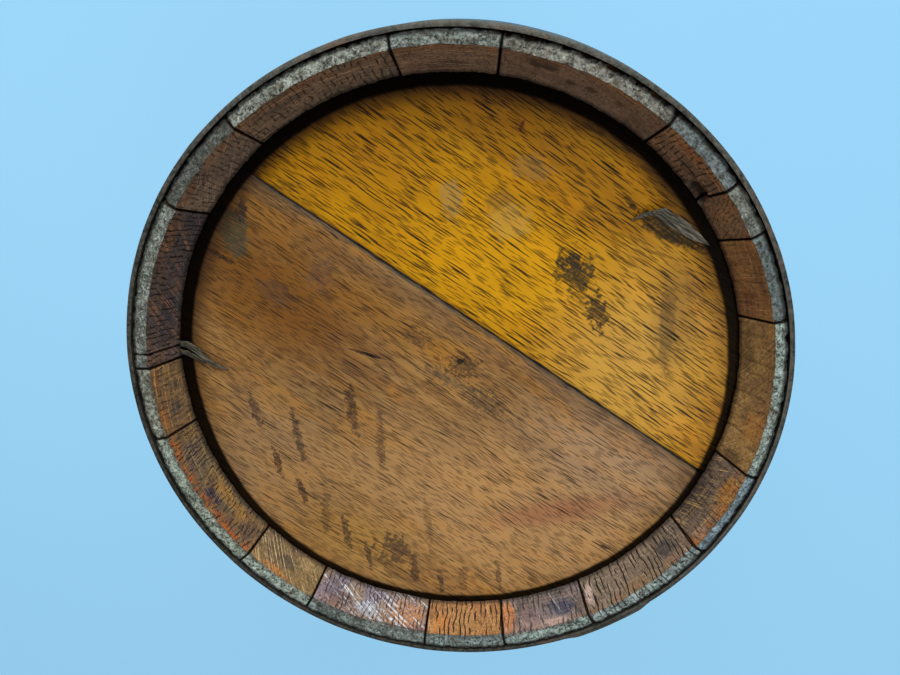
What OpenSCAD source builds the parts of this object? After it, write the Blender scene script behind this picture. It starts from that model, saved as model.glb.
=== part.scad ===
// Small oak wine barrel: seventeen staves, two boarded heads, six riveted iron hoops and a bung.
// It stands upright on one end. The origin is the middle of the lower end and +Z is the barrel's axis.
// All lengths are in millimetres and all angles in degrees.

/* [Barrel] */
// Height of the barrel, end to end
barrel_h = 340; // [300:5:380]
// Diameter across the stave ends
end_d = 250; // [246:1:254]
// Diameter at the middle, where the barrel bulges most
bilge_d = 280; // [276:1:288]
// Thickness of a stave
stave_t = 15; // [14:0.5:16]
// Gap left between two staves, measured as an angle
joint_gap = 0.07; // [0.04:0.01:0.12]

/* [Stave ends] */
// Inner diameter of the flat end of the staves
chime_d = 239; // [236:1:240]
// Depth below the end where the inner bevel would reach lip_d
lip_depth = 15; // [13:0.5:16]
// Diameter of the bevel at lip_depth
lip_d = 226.6; // [226:0.2:228]
// Diameter of the smooth band cut under the bevel
howel_d = 229; // [228.5:0.5:230]
// Chamfer on the outer edge of the stave ends
arris = 1.2; // [0.6:0.1:1.6]

/* [Heads] */
// Depth of a head's outer face below the stave ends
head_depth = 17.5; // [17:0.1:19]
// Diameter of a head over the tongue that sits in the groove
head_d = 236.2; // [235.6:0.2:236.4]
// Thickness of a head
head_t = 13; // [11:0.5:15]
// Thickness of the tongue round the edge of a head
tongue_t = 4.4; // [4:0.1:5]
// Clearance between the tongue and its groove, on each face
tongue_gap = 0.1; // [0.05:0.05:0.2]
// Compass angle of the line that is square to the joint between the boards
seam_turn = 56.85; // [45:0.05:70]
// Distance of the top head's board joint from the barrel's axis
top_seam = 22; // [10:1:30]
// Distance of the bottom head's board joint from the barrel's axis
bottom_seam = -14; // [-30:1:-5]
// Gap in the joint between the two boards
seam_gap = 0.15; // [0.1:0.05:0.3]

/* [Dowels] */
// Diameter of the dowels between the boards
dowel_d = 6; // [5:0.5:7]
// Length of a dowel
dowel_l = 36; // [28:1:40]
// Distance between neighbouring dowels
dowel_pitch = 58; // [45:1:65]
// Clearance round a dowel
dowel_gap = 0.05; // [0.02:0.01:0.1]

/* [Hoops] */
// Thickness of the hoop iron
hoop_t = 1.8; // [1.4:0.1:2.2]
// Clearance between the hoops and the staves
hoop_gap = 0.24; // [0.18:0.02:0.3]
// Thickness of the thinned end that laps over a hoop
lap_t = 1; // [0.8:0.1:1.8]
// Angle over which the two ends of a hoop lap
lap_angle = 18; // [14:1:24]
// Diameter of a rivet's shank
rivet_d = 5; // [4:0.5:6]
// Angle between the two rivets of a lap
rivet_turn = 8.5; // [7:0.5:10]

/* [Bung] */
// Diameter of the bung hole at the stave's outer face
bung_hole_d = 31; // [28:1:33]
// Length along the bung that narrows it by one millimetre
bung_taper = 12; // [8:1:16]
// Length of the bung
bung_l = 34; // [28:1:40]
// Length of the bung that stands outside the stave
bung_proud = 7; // [5:0.5:7]
// Clearance between the bung and its hole
bung_gap = 0.15; // [0.1:0.05:0.3]

/* [Hidden] */

// Width of each stave at the chime, anticlockwise from the bung stave, as an angle
stave_turns = [
    29.5, 17.5, 29.5, 18, 32, 14.5, 30, 16.5, 25.5, 16.5, 18.5, 26, 17.5, 29.5, 15.5, 9, 14.5
];
// Compass angle where the bung stave begins
first_joint = 52.5;

// Each hoop: height of its lower edge, width, and compass angle of its lap
top_chime_band = [barrel_h - 28.5, 28, 303];
top_quarter_band = [barrel_h - 84, 26, 225];
top_bilge_band = [barrel_h / 2 + 36, 26, 135];
bottom_bilge_band = [barrel_h / 2 - 62, 26, 225];
bottom_quarter_band = [58, 26, 135];
bottom_chime_band = [0.5, 28, 315];
bands = [
    top_chime_band, top_quarter_band, top_bilge_band,
    bottom_bilge_band, bottom_quarter_band, bottom_chime_band
];

end_r = end_d / 2;
chime_r = chime_d / 2;
head_r = head_d / 2;
mid_z = barrel_h / 2;
// The bow of a stave is an arc through both ends and the middle
bow = (bilge_d - end_d) / 2;
outer_arc_r = (mid_z * mid_z + bow * bow) / (2 * bow);
inner_arc_r = outer_arc_r - stave_t;
arc_x = bilge_d / 2 - outer_arc_r;
arc_fn = 240;
turn_fn = 120;
edge_fn = 48;
// Reach of a cut past the faces it opens
over = 2;
// Radius inside which no stave has any wood
hollow_r = 95;
bevel_slope = (chime_r - lip_d / 2) / lip_depth;
howel_top = lip_depth + 1;
howel_l = 16;
// Width of the tongue round a head, and of the bevel on its inner face
tongue_w = 4.1;
head_bevel_w = 10;
head_top_z = barrel_h - head_depth;
rivet_head_r = 6.5;
rivet_head_h = 2.2;
// Reach of a rivet hole to each side of the hoop's inner face
rivet_cut = 3 * hoop_t;
hole_gap = 0.05;
// Space left past each end of a dowel
dowel_end_gap = 0.5;
bung_turn = first_joint + stave_turns[0] / 2;
// Diameters of the flat faces that the chamfers leave at the bung's outer and inner ends
bung_face_d = bung_hole_d - 2;
bung_foot_d = bung_hole_d - 6;
oak_dark = "#6b4426";
oak_brown = "#7c4f28";
oak_red = "#824524";
oak_gold = "#b87a26";
oak_tan = "#93602f";
iron_green = "#4b5248";

// Radius of the outside of the staves at height z
function bow_r(z) = arc_x + sqrt(outer_arc_r * outer_arc_r - (z - mid_z) * (z - mid_z));

// Sum of the stave widths before stave number i
function turn_before(i) = i == 0 ? first_joint : turn_before(i - 1) + stave_turns[i - 1];

// Slope of a hoop away from the barrel's axis
function band_lean(band) = atan((bow_r(band[0] + band[1]) - bow_r(band[0])) / band[1]);

// Draws its children again as a mirror image about the barrel's middle height
module both_ends() {
    children();
    translate([0, barrel_h]) mirror([0, 1]) children();
}

// Cuts at the lower end of a stave, in the plane of radius and height
module end_cuts() {
    polygon([
        [hollow_r, -over],
        [chime_r + over * bevel_slope, -over],
        [hollow_r, (chime_r - hollow_r) / bevel_slope]
    ]);
    translate([hollow_r, howel_top]) square([howel_d / 2 - hollow_r, howel_l]);
    translate([hollow_r, head_depth - tongue_gap])
        square([head_r + tongue_gap - hollow_r, tongue_t + 2 * tongue_gap]);
    polygon([
        [end_r - arris, -over],
        [end_r - arris, 0],
        [end_r + over, over + arris],
        [end_r + over, -over]
    ]);
}

// Section of a stave, in the plane of radius and height
module stave_section() {
    difference() {
        intersection() {
            translate([arc_x, mid_z]) circle(r = outer_arc_r, $fn = arc_fn);
            translate([hollow_r, 0]) square([bilge_d - hollow_r, barrel_h]);
        }
        translate([arc_x, mid_z]) circle(r = inner_arc_r, $fn = arc_fn);
        both_ends() end_cuts();
    }
}

module stave(i) {
    rotate([0, 0, turn_before(i) + joint_gap / 2])
        rotate_extrude(angle = stave_turns[i] - joint_gap, $fn = turn_fn) stave_section();
}

// Cone of the bung or its hole along +X, grown all round by gap
module bung_cone(from_x, to_x, gap) {
    surface_x = bilge_d / 2;
    d_from = bung_hole_d + (from_x - surface_x) / bung_taper + 2 * gap;
    d_to = bung_hole_d + (to_x - surface_x) / bung_taper + 2 * gap;
    translate([from_x, 0, mid_z]) rotate([0, 90, 0])
        cylinder(h = to_x - from_x, d1 = d_from, d2 = d_to, $fn = edge_fn);
}

module bung_stave() {
    color(oak_brown) difference() {
        stave(0);
        rotate([0, 0, bung_turn]) bung_cone(bilge_d / 2 - 2 * stave_t, bilge_d / 2 + 2 * stave_t, 0);
    }
}

module plain_stave(i) {
    tone = i % 3 == 0 ? oak_red : (i % 3 == 1 ? oak_dark : oak_brown);
    color(tone) stave(i);
}

// Turned disc of the top head, with its inner face bevelled down to the tongue
module head_disc() {
    rotate_extrude($fn = turn_fn) polygon([
        [0, head_top_z - head_t],
        [head_r - tongue_w - head_bevel_w, head_top_z - head_t],
        [head_r - tongue_w, head_top_z - tongue_t],
        [head_r, head_top_z - tongue_t],
        [head_r, head_top_z],
        [0, head_top_z]
    ]);
}

// Places its children across a board joint, square to it along +X, at each dowel
module at_dowels(seam) {
    for (side = [-1:1])
        rotate([0, 0, seam_turn])
            translate([seam, side * dowel_pitch, head_top_z - head_t / 2])
                rotate([0, 90, 0]) children();
}

// A dowel, or its hole when it is made longer and wider
module dowel(longer, wider) {
    cylinder(h = dowel_l + longer, d = dowel_d + wider, center = true, $fn = edge_fn);
}

// One board of the top head: side is 1 beyond the joint and -1 before it
module head_board(seam, side) {
    difference() {
        intersection() {
            head_disc();
            rotate([0, 0, seam_turn])
                translate([seam + side * (head_d / 2 + seam_gap / 2 + over), 0, barrel_h / 2])
                    cube([head_d + 2 * over, 2 * head_d, barrel_h], center = true);
        }
        at_dowels(seam)
            dowel(2 * dowel_end_gap, 2 * dowel_gap);
    }
}

// Turns its children over to the lower end of the barrel
module lower_end() {
    translate([0, 0, barrel_h]) mirror([0, 0, 1]) children();
}

module top_head_narrow_board() {
    color(oak_gold) head_board(top_seam, 1);
}

module top_head_wide_board() {
    color(oak_tan) head_board(top_seam, -1);
}

module bottom_head_narrow_board() {
    color(oak_gold) lower_end() head_board(bottom_seam, -1);
}

module bottom_head_wide_board() {
    color(oak_tan) lower_end() head_board(bottom_seam, 1);
}

module dowels(seam) {
    at_dowels(seam) dowel(0, 0);
}

module head_dowels() {
    color(oak_tan) {
        dowels(top_seam);
        lower_end() dowels(bottom_seam);
    }
}

// Section of a hoop that lies from_t to to_t outside the staves
module band_section(band, from_t, to_t) {
    low = bow_r(band[0]) + hoop_gap;
    high = bow_r(band[0] + band[1]) + hoop_gap;
    polygon([
        [low + from_t, band[0]],
        [low + to_t, band[0]],
        [high + to_t, band[0] + band[1]],
        [high + from_t, band[0] + band[1]]
    ]);
}

// Places its children at each rivet of a hoop, with +Z pointing out of the hoop's inner face
module at_rivets(band) {
    middle = band[0] + band[1] / 2;
    face_r = (bow_r(band[0]) + bow_r(band[0] + band[1])) / 2 + hoop_gap;
    for (side = [-1, 1])
        rotate([0, 0, band[2] + side * rivet_turn / 2])
            translate([face_r, 0, middle])
                rotate([0, 90 + band_lean(band), 0]) children();
}

// One hoop: a closed band with its outer end lapped over it
module hoop(band) {
    color(iron_green) difference() {
        union() {
            rotate_extrude($fn = turn_fn) band_section(band, 0, hoop_t);
            rotate([0, 0, band[2] - lap_angle / 2])
                rotate_extrude(angle = lap_angle, $fn = turn_fn)
                    band_section(band, hoop_t / 2, hoop_t + lap_t);
        }
        at_rivets(band)
            cylinder(h = 2 * rivet_cut, d = rivet_d + 2 * hole_gap, center = true, $fn = edge_fn);
    }
}

module top_chime_hoop() {
    hoop(top_chime_band);
}

module top_quarter_hoop() {
    hoop(top_quarter_band);
}

module top_bilge_hoop() {
    hoop(top_bilge_band);
}

module bottom_bilge_hoop() {
    hoop(bottom_bilge_band);
}

module bottom_quarter_hoop() {
    hoop(bottom_quarter_band);
}

module bottom_chime_hoop() {
    hoop(bottom_chime_band);
}

// A rivet with a domed head, standing on the hoop's inner face
module rivet() {
    head_z = hoop_t + lap_t + 2 * hole_gap;
    cylinder(h = head_z, d = rivet_d, $fn = edge_fn);
    intersection() {
        translate([0, 0, head_z + rivet_head_h - rivet_head_r]) sphere(r = rivet_head_r, $fn = edge_fn);
        translate([0, 0, head_z]) cylinder(h = rivet_head_h + over, r = rivet_head_r, $fn = edge_fn);
    }
}

module hoop_rivets() {
    color(iron_green)
        for (band = bands)
            at_rivets(band) rivet();
}

// Cone at 45 degrees that widens along +Z from a flat end
module chamfer_cone(flat_d) {
    reach = bung_l + bung_hole_d;
    cylinder(h = reach, d1 = flat_d, d2 = flat_d + 2 * reach, $fn = edge_fn);
}

// Tapered bung, chamfered at both ends
module bung() {
    out_x = bilge_d / 2 + bung_proud;
    in_x = out_x - bung_l;
    color(oak_gold) rotate([0, 0, bung_turn]) intersection() {
        bung_cone(in_x, out_x, -bung_gap);
        translate([in_x, 0, mid_z]) rotate([0, 90, 0]) chamfer_cone(bung_foot_d);
        translate([out_x, 0, mid_z]) rotate([0, -90, 0]) chamfer_cone(bung_face_d);
    }
}

bung_stave();
plain_stave(1);  // stave_02
plain_stave(2);  // stave_03
plain_stave(3);  // stave_04
plain_stave(4);  // stave_05
plain_stave(5);  // stave_06
plain_stave(6);  // stave_07
plain_stave(7);  // stave_08
plain_stave(8);  // stave_09
plain_stave(9);  // stave_10
plain_stave(10);  // stave_11
plain_stave(11);  // stave_12
plain_stave(12);  // stave_13
plain_stave(13);  // stave_14
plain_stave(14);  // stave_15
plain_stave(15);  // stave_16
plain_stave(16);  // stave_17
top_head_narrow_board();
top_head_wide_board();
bottom_head_narrow_board();
bottom_head_wide_board();
head_dowels();
top_chime_hoop();
top_quarter_hoop();
top_bilge_hoop();
bottom_bilge_hoop();
bottom_quarter_hoop();
bottom_chime_hoop();
hoop_rivets();
bung();
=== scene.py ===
import math

import bmesh
import bpy
from mathutils import Matrix, Vector, noise


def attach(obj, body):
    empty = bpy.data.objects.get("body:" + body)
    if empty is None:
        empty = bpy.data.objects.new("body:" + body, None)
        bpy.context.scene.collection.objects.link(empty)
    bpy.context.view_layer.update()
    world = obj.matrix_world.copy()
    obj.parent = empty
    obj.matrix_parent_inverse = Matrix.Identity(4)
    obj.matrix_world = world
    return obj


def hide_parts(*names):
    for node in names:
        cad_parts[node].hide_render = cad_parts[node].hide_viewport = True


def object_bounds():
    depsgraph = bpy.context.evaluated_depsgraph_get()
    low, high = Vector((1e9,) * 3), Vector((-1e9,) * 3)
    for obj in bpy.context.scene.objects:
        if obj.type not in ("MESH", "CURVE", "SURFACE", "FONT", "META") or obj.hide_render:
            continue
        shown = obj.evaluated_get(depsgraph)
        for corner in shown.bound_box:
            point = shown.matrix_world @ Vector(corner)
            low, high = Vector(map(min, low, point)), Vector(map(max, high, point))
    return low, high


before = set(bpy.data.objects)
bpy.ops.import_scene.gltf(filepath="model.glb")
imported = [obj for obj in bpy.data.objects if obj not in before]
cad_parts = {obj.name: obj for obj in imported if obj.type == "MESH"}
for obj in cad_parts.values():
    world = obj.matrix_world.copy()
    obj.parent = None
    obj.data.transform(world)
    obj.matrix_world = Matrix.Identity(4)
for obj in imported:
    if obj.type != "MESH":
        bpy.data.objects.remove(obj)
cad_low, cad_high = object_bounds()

# The barrel stands on its lower end and its axis is Z. Lengths here are millimetres, and MM turns them
# into Blender's metres. Azimuths are degrees, anticlockwise from +X when seen from above.
MM = 0.001
BARREL_H = (cad_high.z - cad_low.z) / MM
MID_Z = BARREL_H / 2
END_R = 125.0
# The staves' outside is an arc of radius BOW_R, with its centre BOW_X from the barrel's axis
BOW_R = 970.83
BOW_X = -830.83
STAVE_T = 15.0
ARC_R = 120.0           # radius at which lengths round a stave end are measured

# A stave end, as depths below the barrel's end and radii: bevel to the lip, band, head groove, band
LIP_DEPTH = 16.0
HOWEL_R = 114.5
HOWEL_END = 28.7
HOWEL_FADE = 34.0       # where the band has run out into the stave's inside
CROZE_R = 118.2
CROZE_DEPTH = (17.4, 22.05)

FACE_ROW_END = 14.0     # the fine rows of a stave end reach this far down its outside
FACE_ROWS = 38          # coarse rows on the outside, and on the inside
BORE_ROWS = 18
FINE_PITCH = 0.8        # length of stave end between two fine columns

# The heads: depth of the face below the barrel's end, radius, thickness, and the tongue and bevel
# round the rim
HEAD_DEPTH = 17.5
HEAD_R = 118.1
HEAD_T = 13.0
TONGUE_T = 4.4
TONGUE_W = 4.1
HEAD_BEVEL_W = 10.0
SEAM_TURN = 56.85       # azimuth square to the joint between the boards
TOP_SEAM = 22.0         # how far that joint is from the middle of each head
BOTTOM_SEAM = -14.0

HOOP_T = 1.8
HOOP_GAP = 0.24         # between the staves and a hoop
HAMMER_DENT = 0.12
LAP_T = 1.0             # thickness of the outer end where a hoop laps over itself
LAP_ANGLE = 18.0
RIVET_TURN = 8.5        # degrees between the two rivets of a lap
RIVET_SHANK_R = 2.45
RIVET_HEAD_R = 6.5      # radius of the sphere that the head is part of
RIVET_HEAD_H = 2.2

BUNG_Z = MID_Z
BUNG_D = 31.0           # of its hole, at the stave's outside
BUNG_PROUD = 7.0
BUNG_L = 34.0
BUNG_TAPER = 12.0       # the hole widens by 1 in this length
BUNG_GAP = 0.15


def clamp(x, low=0.0, high=1.0):
    return max(low, min(high, x))


def ease(low, high, x):
    """Smooth step of x from low to high, from 0 to 1."""
    t = clamp((x - low) / (high - low))
    return t * t * (3 - 2 * t)


def lump(x, y, z, octaves=3):
    """Smooth noise, about -1 to 1."""
    return noise.fractal(Vector((x, y, z)), 1.0, 2.0, octaves)


def bow_r(z):
    """Radius of the staves' outside at a height."""
    return BOW_X + math.sqrt(BOW_R ** 2 - (z - MID_Z) ** 2)


def inner_r(z):
    """Radius of the staves' inside at a height."""
    return BOW_X + math.sqrt((BOW_R - STAVE_T) ** 2 - (z - MID_Z) ** 2)


def at_turn(r, turn, z):
    """Point in metres at a radius, azimuth and height."""
    a = math.radians(turn)
    return Vector((r * math.cos(a), r * math.sin(a), z)) * MM


# Directions square to the joint between the head's boards, and along it
SEAM_NORMAL = Vector((math.cos(math.radians(SEAM_TURN)), math.sin(math.radians(SEAM_TURN)), 0.0))
SEAM_ALONG = Vector((-SEAM_NORMAL.y, SEAM_NORMAL.x, 0.0))


def rgb(code):
    """Linear colour from a six-digit sRGB code."""
    def linear(c):
        return c / 12.92 if c <= 0.04045 else ((c + 0.055) / 1.055) ** 2.4
    return tuple(linear(int(code[i:i + 2], 16) / 255) for i in (0, 2, 4)) + (1.0,)


# ---------------------------------------------------------------------------------------- materials

class Paint:
    """Builds one procedural material. Vectors are in millimetres."""

    def __init__(self, name):
        self.material = bpy.data.materials.new(name)
        self.material.use_nodes = True
        self.tree = self.material.node_tree
        self.bsdf = self.tree.nodes["Principled BSDF"]

    def node(self, kind, **settings):
        made = self.tree.nodes.new(kind)
        for key, value in settings.items():
            setattr(made, key, value)
        return made

    def feed(self, socket, value):
        if isinstance(value, bpy.types.NodeSocket):
            self.tree.links.new(value, socket)
        else:
            socket.default_value = value

    def fill(self, made, values):
        """Feeds the inputs of a node, by name or number, and gives its first output."""
        for key, value in values.items():
            self.feed(made.inputs[key], value)
        return made.outputs[0]

    def math(self, operation, a, b=0.0):
        return self.fill(self.node("ShaderNodeMath", operation=operation), {0: a, 1: b})

    def minus(self, a, b):
        return self.math("SUBTRACT", a, b)

    def absolute(self, a):
        return self.math("ABSOLUTE", a)

    def length(self, a, b):
        return self.math("SQRT", self.add(self.times(a, a), self.times(b, b)))

    def vector(self, operation, a, b):
        return self.fill(self.node("ShaderNodeVectorMath", operation=operation), {0: a, 1: b})

    def place(self, turn=0.0):
        """Object position in millimetres, turned about Z so that azimuth turn lies on +X."""
        where = self.node("ShaderNodeTexCoord").outputs["Object"]
        scaled = self.vector("MULTIPLY", where, (1 / MM, 1 / MM, 1 / MM))
        return self.turned(scaled, -turn)

    def turned(self, vector, angle):
        made = self.node("ShaderNodeVectorRotate", rotation_type="Z_AXIS")
        return self.fill(made, {"Vector": vector, "Angle": math.radians(angle)})

    def parts(self, vector):
        made = self.node("ShaderNodeSeparateXYZ")
        self.fill(made, {0: vector})
        return tuple(made.outputs)

    def join(self, x, y, z):
        return self.fill(self.node("ShaderNodeCombineXYZ"), {0: x, 1: y, 2: z})

    def shifted(self, vector, by):
        return self.vector("ADD", vector, (by, by, 0.0))

    def sized(self, vector, sizes):
        """Divides a position by the size of one feature along each axis."""
        return self.vector("DIVIDE", vector, sizes)

    def grain(self, vector, size=1.0, detail=3.0, rough=0.55, seed=0.0, warp=0.0):
        """Noise from 0 to 1 whose features are about size across."""
        return self.fill(self.node("ShaderNodeTexNoise", noise_dimensions="4D"), {
            "Vector": vector, "W": seed, "Scale": 1.0 / size, "Detail": detail,
            "Roughness": rough, "Distortion": warp})

    def streaks(self, vector, sizes, detail, rough, seed, warp=0.0):
        """Noise whose features have a size of their own along each axis."""
        return self.grain(self.sized(vector, sizes), 1.0, detail, rough, seed, warp)

    def cells(self, vector, sides="3D"):
        """Distance to the nearest of a scatter of points, one in each unit cell."""
        made = self.node("ShaderNodeTexVoronoi", voronoi_dimensions=sides)
        return self.fill(made, {"Vector": vector, "Scale": 1.0, "Randomness": 1.0})

    def step(self, value, low, high, out_low=0.0, out_high=1.0):
        """Smooth step of value from low to high."""
        made = self.node("ShaderNodeMapRange", interpolation_type="SMOOTHSTEP", clamp=True)
        return self.fill(made, {"Value": value, "From Min": low, "From Max": high,
                                "To Min": out_low, "To Max": out_high})

    def ramp(self, value, stops):
        """Colour from a list of (value, colour code)."""
        made = self.node("ShaderNodeValToRGB")
        bar = made.color_ramp.elements
        while len(bar) < len(stops):
            bar.new(0.5)
        for element, (at, code) in zip(bar, stops):
            element.position = at
            element.color = rgb(code)
        return self.fill(made, {0: value})

    def mix(self, share, a, b):
        """Colour a where share is 0 and b where it is 1."""
        made = self.node("ShaderNodeMix", data_type="RGBA", clamp_factor=True)
        a, b = (rgb(c) if isinstance(c, str) else c for c in (a, b))
        share_in, a_in, b_in, colour_out = 0, 6, 7, 2
        self.fill(made, {share_in: share, a_in: a, b_in: b})
        return made.outputs[colour_out]

    def mix_value(self, share, a, b):
        """a where share is 0 and b where it is 1."""
        return self.add(self.times(self.minus(1.0, share), a), self.times(share, b))

    def add(self, *values):
        total = values[0]
        for value in values[1:]:
            total = self.math("ADD", total, value)
        return total

    def times(self, *values):
        total = values[0]
        for value in values[1:]:
            total = self.math("MULTIPLY", total, value)
        return total

    def finish(self, colour, roughness, height, metallic=0.0, coat=0.0, gloss=0.4):
        """Connects colour and roughness, and a bump whose height is in millimetres."""
        bump = self.fill(self.node("ShaderNodeBump"),
                         {"Strength": 1.0, "Distance": MM, "Height": height})
        self.fill(self.bsdf, {
            "Base Color": colour, "Roughness": roughness, "Metallic": metallic, "Normal": bump,
            "Specular IOR Level": gloss, "Coat Weight": coat, "Coat Roughness": 0.3})
        return self.material

    def mark(self, where, centre, size, turn=0.0, ragged=0.35, scale=5.0, seed=0.0, soft=0.35):
        """1 inside a ragged ellipse, 0 outside it."""
        local = self.vector("SUBTRACT", where, (centre[0], centre[1], 0.0))
        x, y, _ = self.parts(self.turned(local, -turn))
        x = self.math("DIVIDE", x, size[0])
        y = self.math("DIVIDE", y, size[1])
        away = self.length(x, y)
        noisy = self.minus(self.grain(where, scale, 4.0, 0.65, seed), 0.5)
        return self.step(self.add(away, self.times(noisy, ragged * 4)), 1.0, 1.0 - soft)

    def joint(self, arc, half):
        """1 on the dark line at either joint of a stave that is 2 * half wide."""
        return self.step(self.absolute(arc), half - JOINT_LINE, half - 0.2)

    def kerfs(self, arc, depth, flat, seed, look):
        """1 in the saw kerfs that cross a stave end from the flat to the lip."""
        drift = self.times(self.grain(flat, 8.0, 2.0, 0.5, seed + 7.0), 5.0)
        along = self.add(arc, drift, self.times(depth, look["skew"]))
        kerf = self.math("SINE", self.times(along, 2 * math.pi / look["pitch"]))
        broken = self.streaks(flat, (1.5, look["kerf_len"], 9.0), 2.0, 0.6, seed + 8.0)
        return self.times(self.step(kerf, 0.45, 0.9), self.step(broken, 0.44, 0.56))

    def end_depth(self, z):
        """Depth below the nearer end of the barrel."""
        return self.math("MINIMUM", z, self.minus(BARREL_H, z))

    def end_place(self, turn):
        """Position on a stave end: arc length from azimuth turn, depth below the nearer end, radius."""
        x, y, z = self.parts(self.place(turn))
        radius = self.length(x, y)
        arc = self.times(self.math("ARCTAN2", y, x), ARC_R)
        return arc, self.end_depth(z), radius


def bevel_oak(name, turn, half, seed, look):
    """Cut oak on the bevel inside a stave end: saw kerfs, arc scratches, stains, dirt, and painted shade at
    the lip.
    """
    p = Paint(name)
    arc, depth, radius = p.end_place(turn)
    flat = p.join(arc, depth, radius)
    patch = p.grain(flat, 11.0, 4.0, 0.6, seed)
    colour = p.mix(p.step(patch, 0.42, 0.6), look["main"], look["alt"])
    for (across, down), size, share, code in look["patches"]:
        blot = p.mark(flat, (across * half, down), (size[0] * half, size[1]), 0.0, 0.4, 3.0, seed, 0.5)
        colour = p.mix(p.times(blot, share), colour, code)
    blotch = p.grain(flat, 3.4, 4.0, 0.65, seed + 3.1, 0.6)
    colour = p.mix(p.step(blotch, 0.53, 0.68, 0.0, look["blotch"]), colour, look["dark"])
    warm = p.grain(flat, look["bead"], 3.0, 0.5, seed + 9.0)
    warm = p.times(p.step(depth, look["warm_to"], 1.0), p.step(warm, 0.42, 0.6))
    colour = p.mix(p.times(warm, look["warm"]), colour, look["chime"])
    # Long scratches left by the cooper's knife
    slant = p.turned(flat, look["slant"])
    lines = p.streaks(slant, (30.0, look["line_w"], 30.0), 1.0, 0.5, seed + 5.0)
    clusters = p.step(p.grain(flat, 4.5, 2.0, 0.5, seed + 14.0), 0.4, 0.56, 0.25, 1.0)
    colour = p.mix(p.times(p.step(lines, 0.57, 0.63), clusters, look["lines"]), colour, look["light"])
    dents = p.streaks(slant, (9.0, 0.5, 30.0), 2.0, 0.6, seed + 6.0)
    colour = p.mix(p.step(dents, 0.56, 0.7, 0.0, 0.5), colour, look["dark"])
    # Fainter lines at right angles to the stave
    bars = p.streaks(p.turned(flat, 3.0), (30.0, 0.32, 30.0), 1.0, 0.5, seed + 12.0)
    colour = p.mix(p.step(bars, 0.57, 0.63, 0.0, look["bars"]), colour, look["light"])
    mottle = p.grain(flat, 1.1, 4.0, 0.75, seed + 13.0, 0.5)
    colour = p.mix(p.step(mottle, 0.56, 0.36, 0.0, look["mottle"]), colour, look["dark"])
    cut = p.kerfs(arc, depth, flat, seed, look)
    colour = p.mix(p.times(cut, look["kerf"]), colour, "1b1614")
    # Pores and specks
    pores = p.step(p.cells(p.sized(flat, (1.1, 1.3, 1.5))), 0.34, 0.16)
    speck = p.times(pores, p.step(p.grain(flat, 4.0, 2.0, 0.5, seed + 2.0), 0.45, 0.6))
    colour = p.mix(p.times(speck, look["speck"]), colour, "18120f")
    # Dirt below the flat, and dirt with painted shade at the lip, where the bevel runs down into the head's
    # recess
    edge = p.add(depth, p.times(p.grain(flat, 2.0, 3.0, 0.6, seed + 4.0), 1.6))
    colour = p.mix(p.step(edge, 1.7, 0.7, 0.0, 0.55), colour, "3a332b")
    colour = p.mix(p.step(edge, 14.4, 16.6, 0.0, 0.75), colour, "17110e")
    joint = p.joint(arc, half)
    colour = p.mix(joint, colour, "060505")
    gloss = p.step(blotch, 0.35, 0.65, look["rough"] - 0.1, look["rough"] + 0.16)
    height = p.add(
        p.times(lines, 0.14), p.times(cut, -0.22 * look["kerf"]),
        p.times(blotch, 0.12), p.times(speck, -0.12), p.times(mottle, 0.12), p.times(bars, 0.06))
    return p.finish(colour, gloss, height, coat=look["coat"], gloss=p.step(joint, 0.0, 1.0, 0.28, 0.0))


def flat_oak(name, turn, half, seed, look):
    """Weathered, crumbling end grain on the flat of a stave end."""
    p = Paint(name)
    arc, depth, radius = p.end_place(turn)
    flat = p.join(arc, depth, radius)
    fine = p.grain(flat, 0.8, 4.0, 0.75, seed + 20.0, 0.4)
    coarse = p.grain(flat, 2.3, 4.0, 0.65, seed + 21.0, 0.8)
    patch = p.grain(flat, 8.0, 3.0, 0.6, seed + 22.0)
    value = p.add(p.times(fine, 0.55), p.times(coarse, 0.45))
    pale = p.ramp(value, [(0.36, "1a1814"), (0.44, look["flat_dark"]), (0.51, look["flat"]),
                          (0.61, look["flat_light"])])
    dull = p.ramp(value, [(0.30, "171512"), (0.45, "34322c"), (0.60, look["flat_dark"])])
    colour = p.mix(p.step(patch, 0.47, 0.62, 0.0, look["dull"]), pale, dull)
    inner = p.step(p.add(radius, p.times(coarse, 3.0)), 121.4, 120.0)
    colour = p.mix(p.times(inner, 0.35), colour, "4b4035")
    brown = p.step(p.grain(flat, 3.0, 3.0, 0.6, seed + 23.0), 0.52, 0.64)
    colour = p.mix(p.times(brown, 0.3), colour, "6a5840")
    colour = p.mix(p.times(p.kerfs(arc, depth, flat, seed, look), look["flat_kerf"]), colour, "1d1a17")
    colour = p.mix(p.joint(arc, half), colour, "060505")
    # Painted shade on the broken outer edge of the flat, where it drops into the gap beside the hoop
    outer = p.step(p.add(radius, p.times(coarse, 2.6)), 124.2, 125.4)
    colour = p.mix(p.times(outer, 0.8), colour, "12100d")
    height = p.add(p.times(fine, 0.55), p.times(coarse, 0.6))
    return p.finish(colour, p.step(value, 0.3, 0.7, 0.95, 0.8), height, gloss=0.2)


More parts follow.
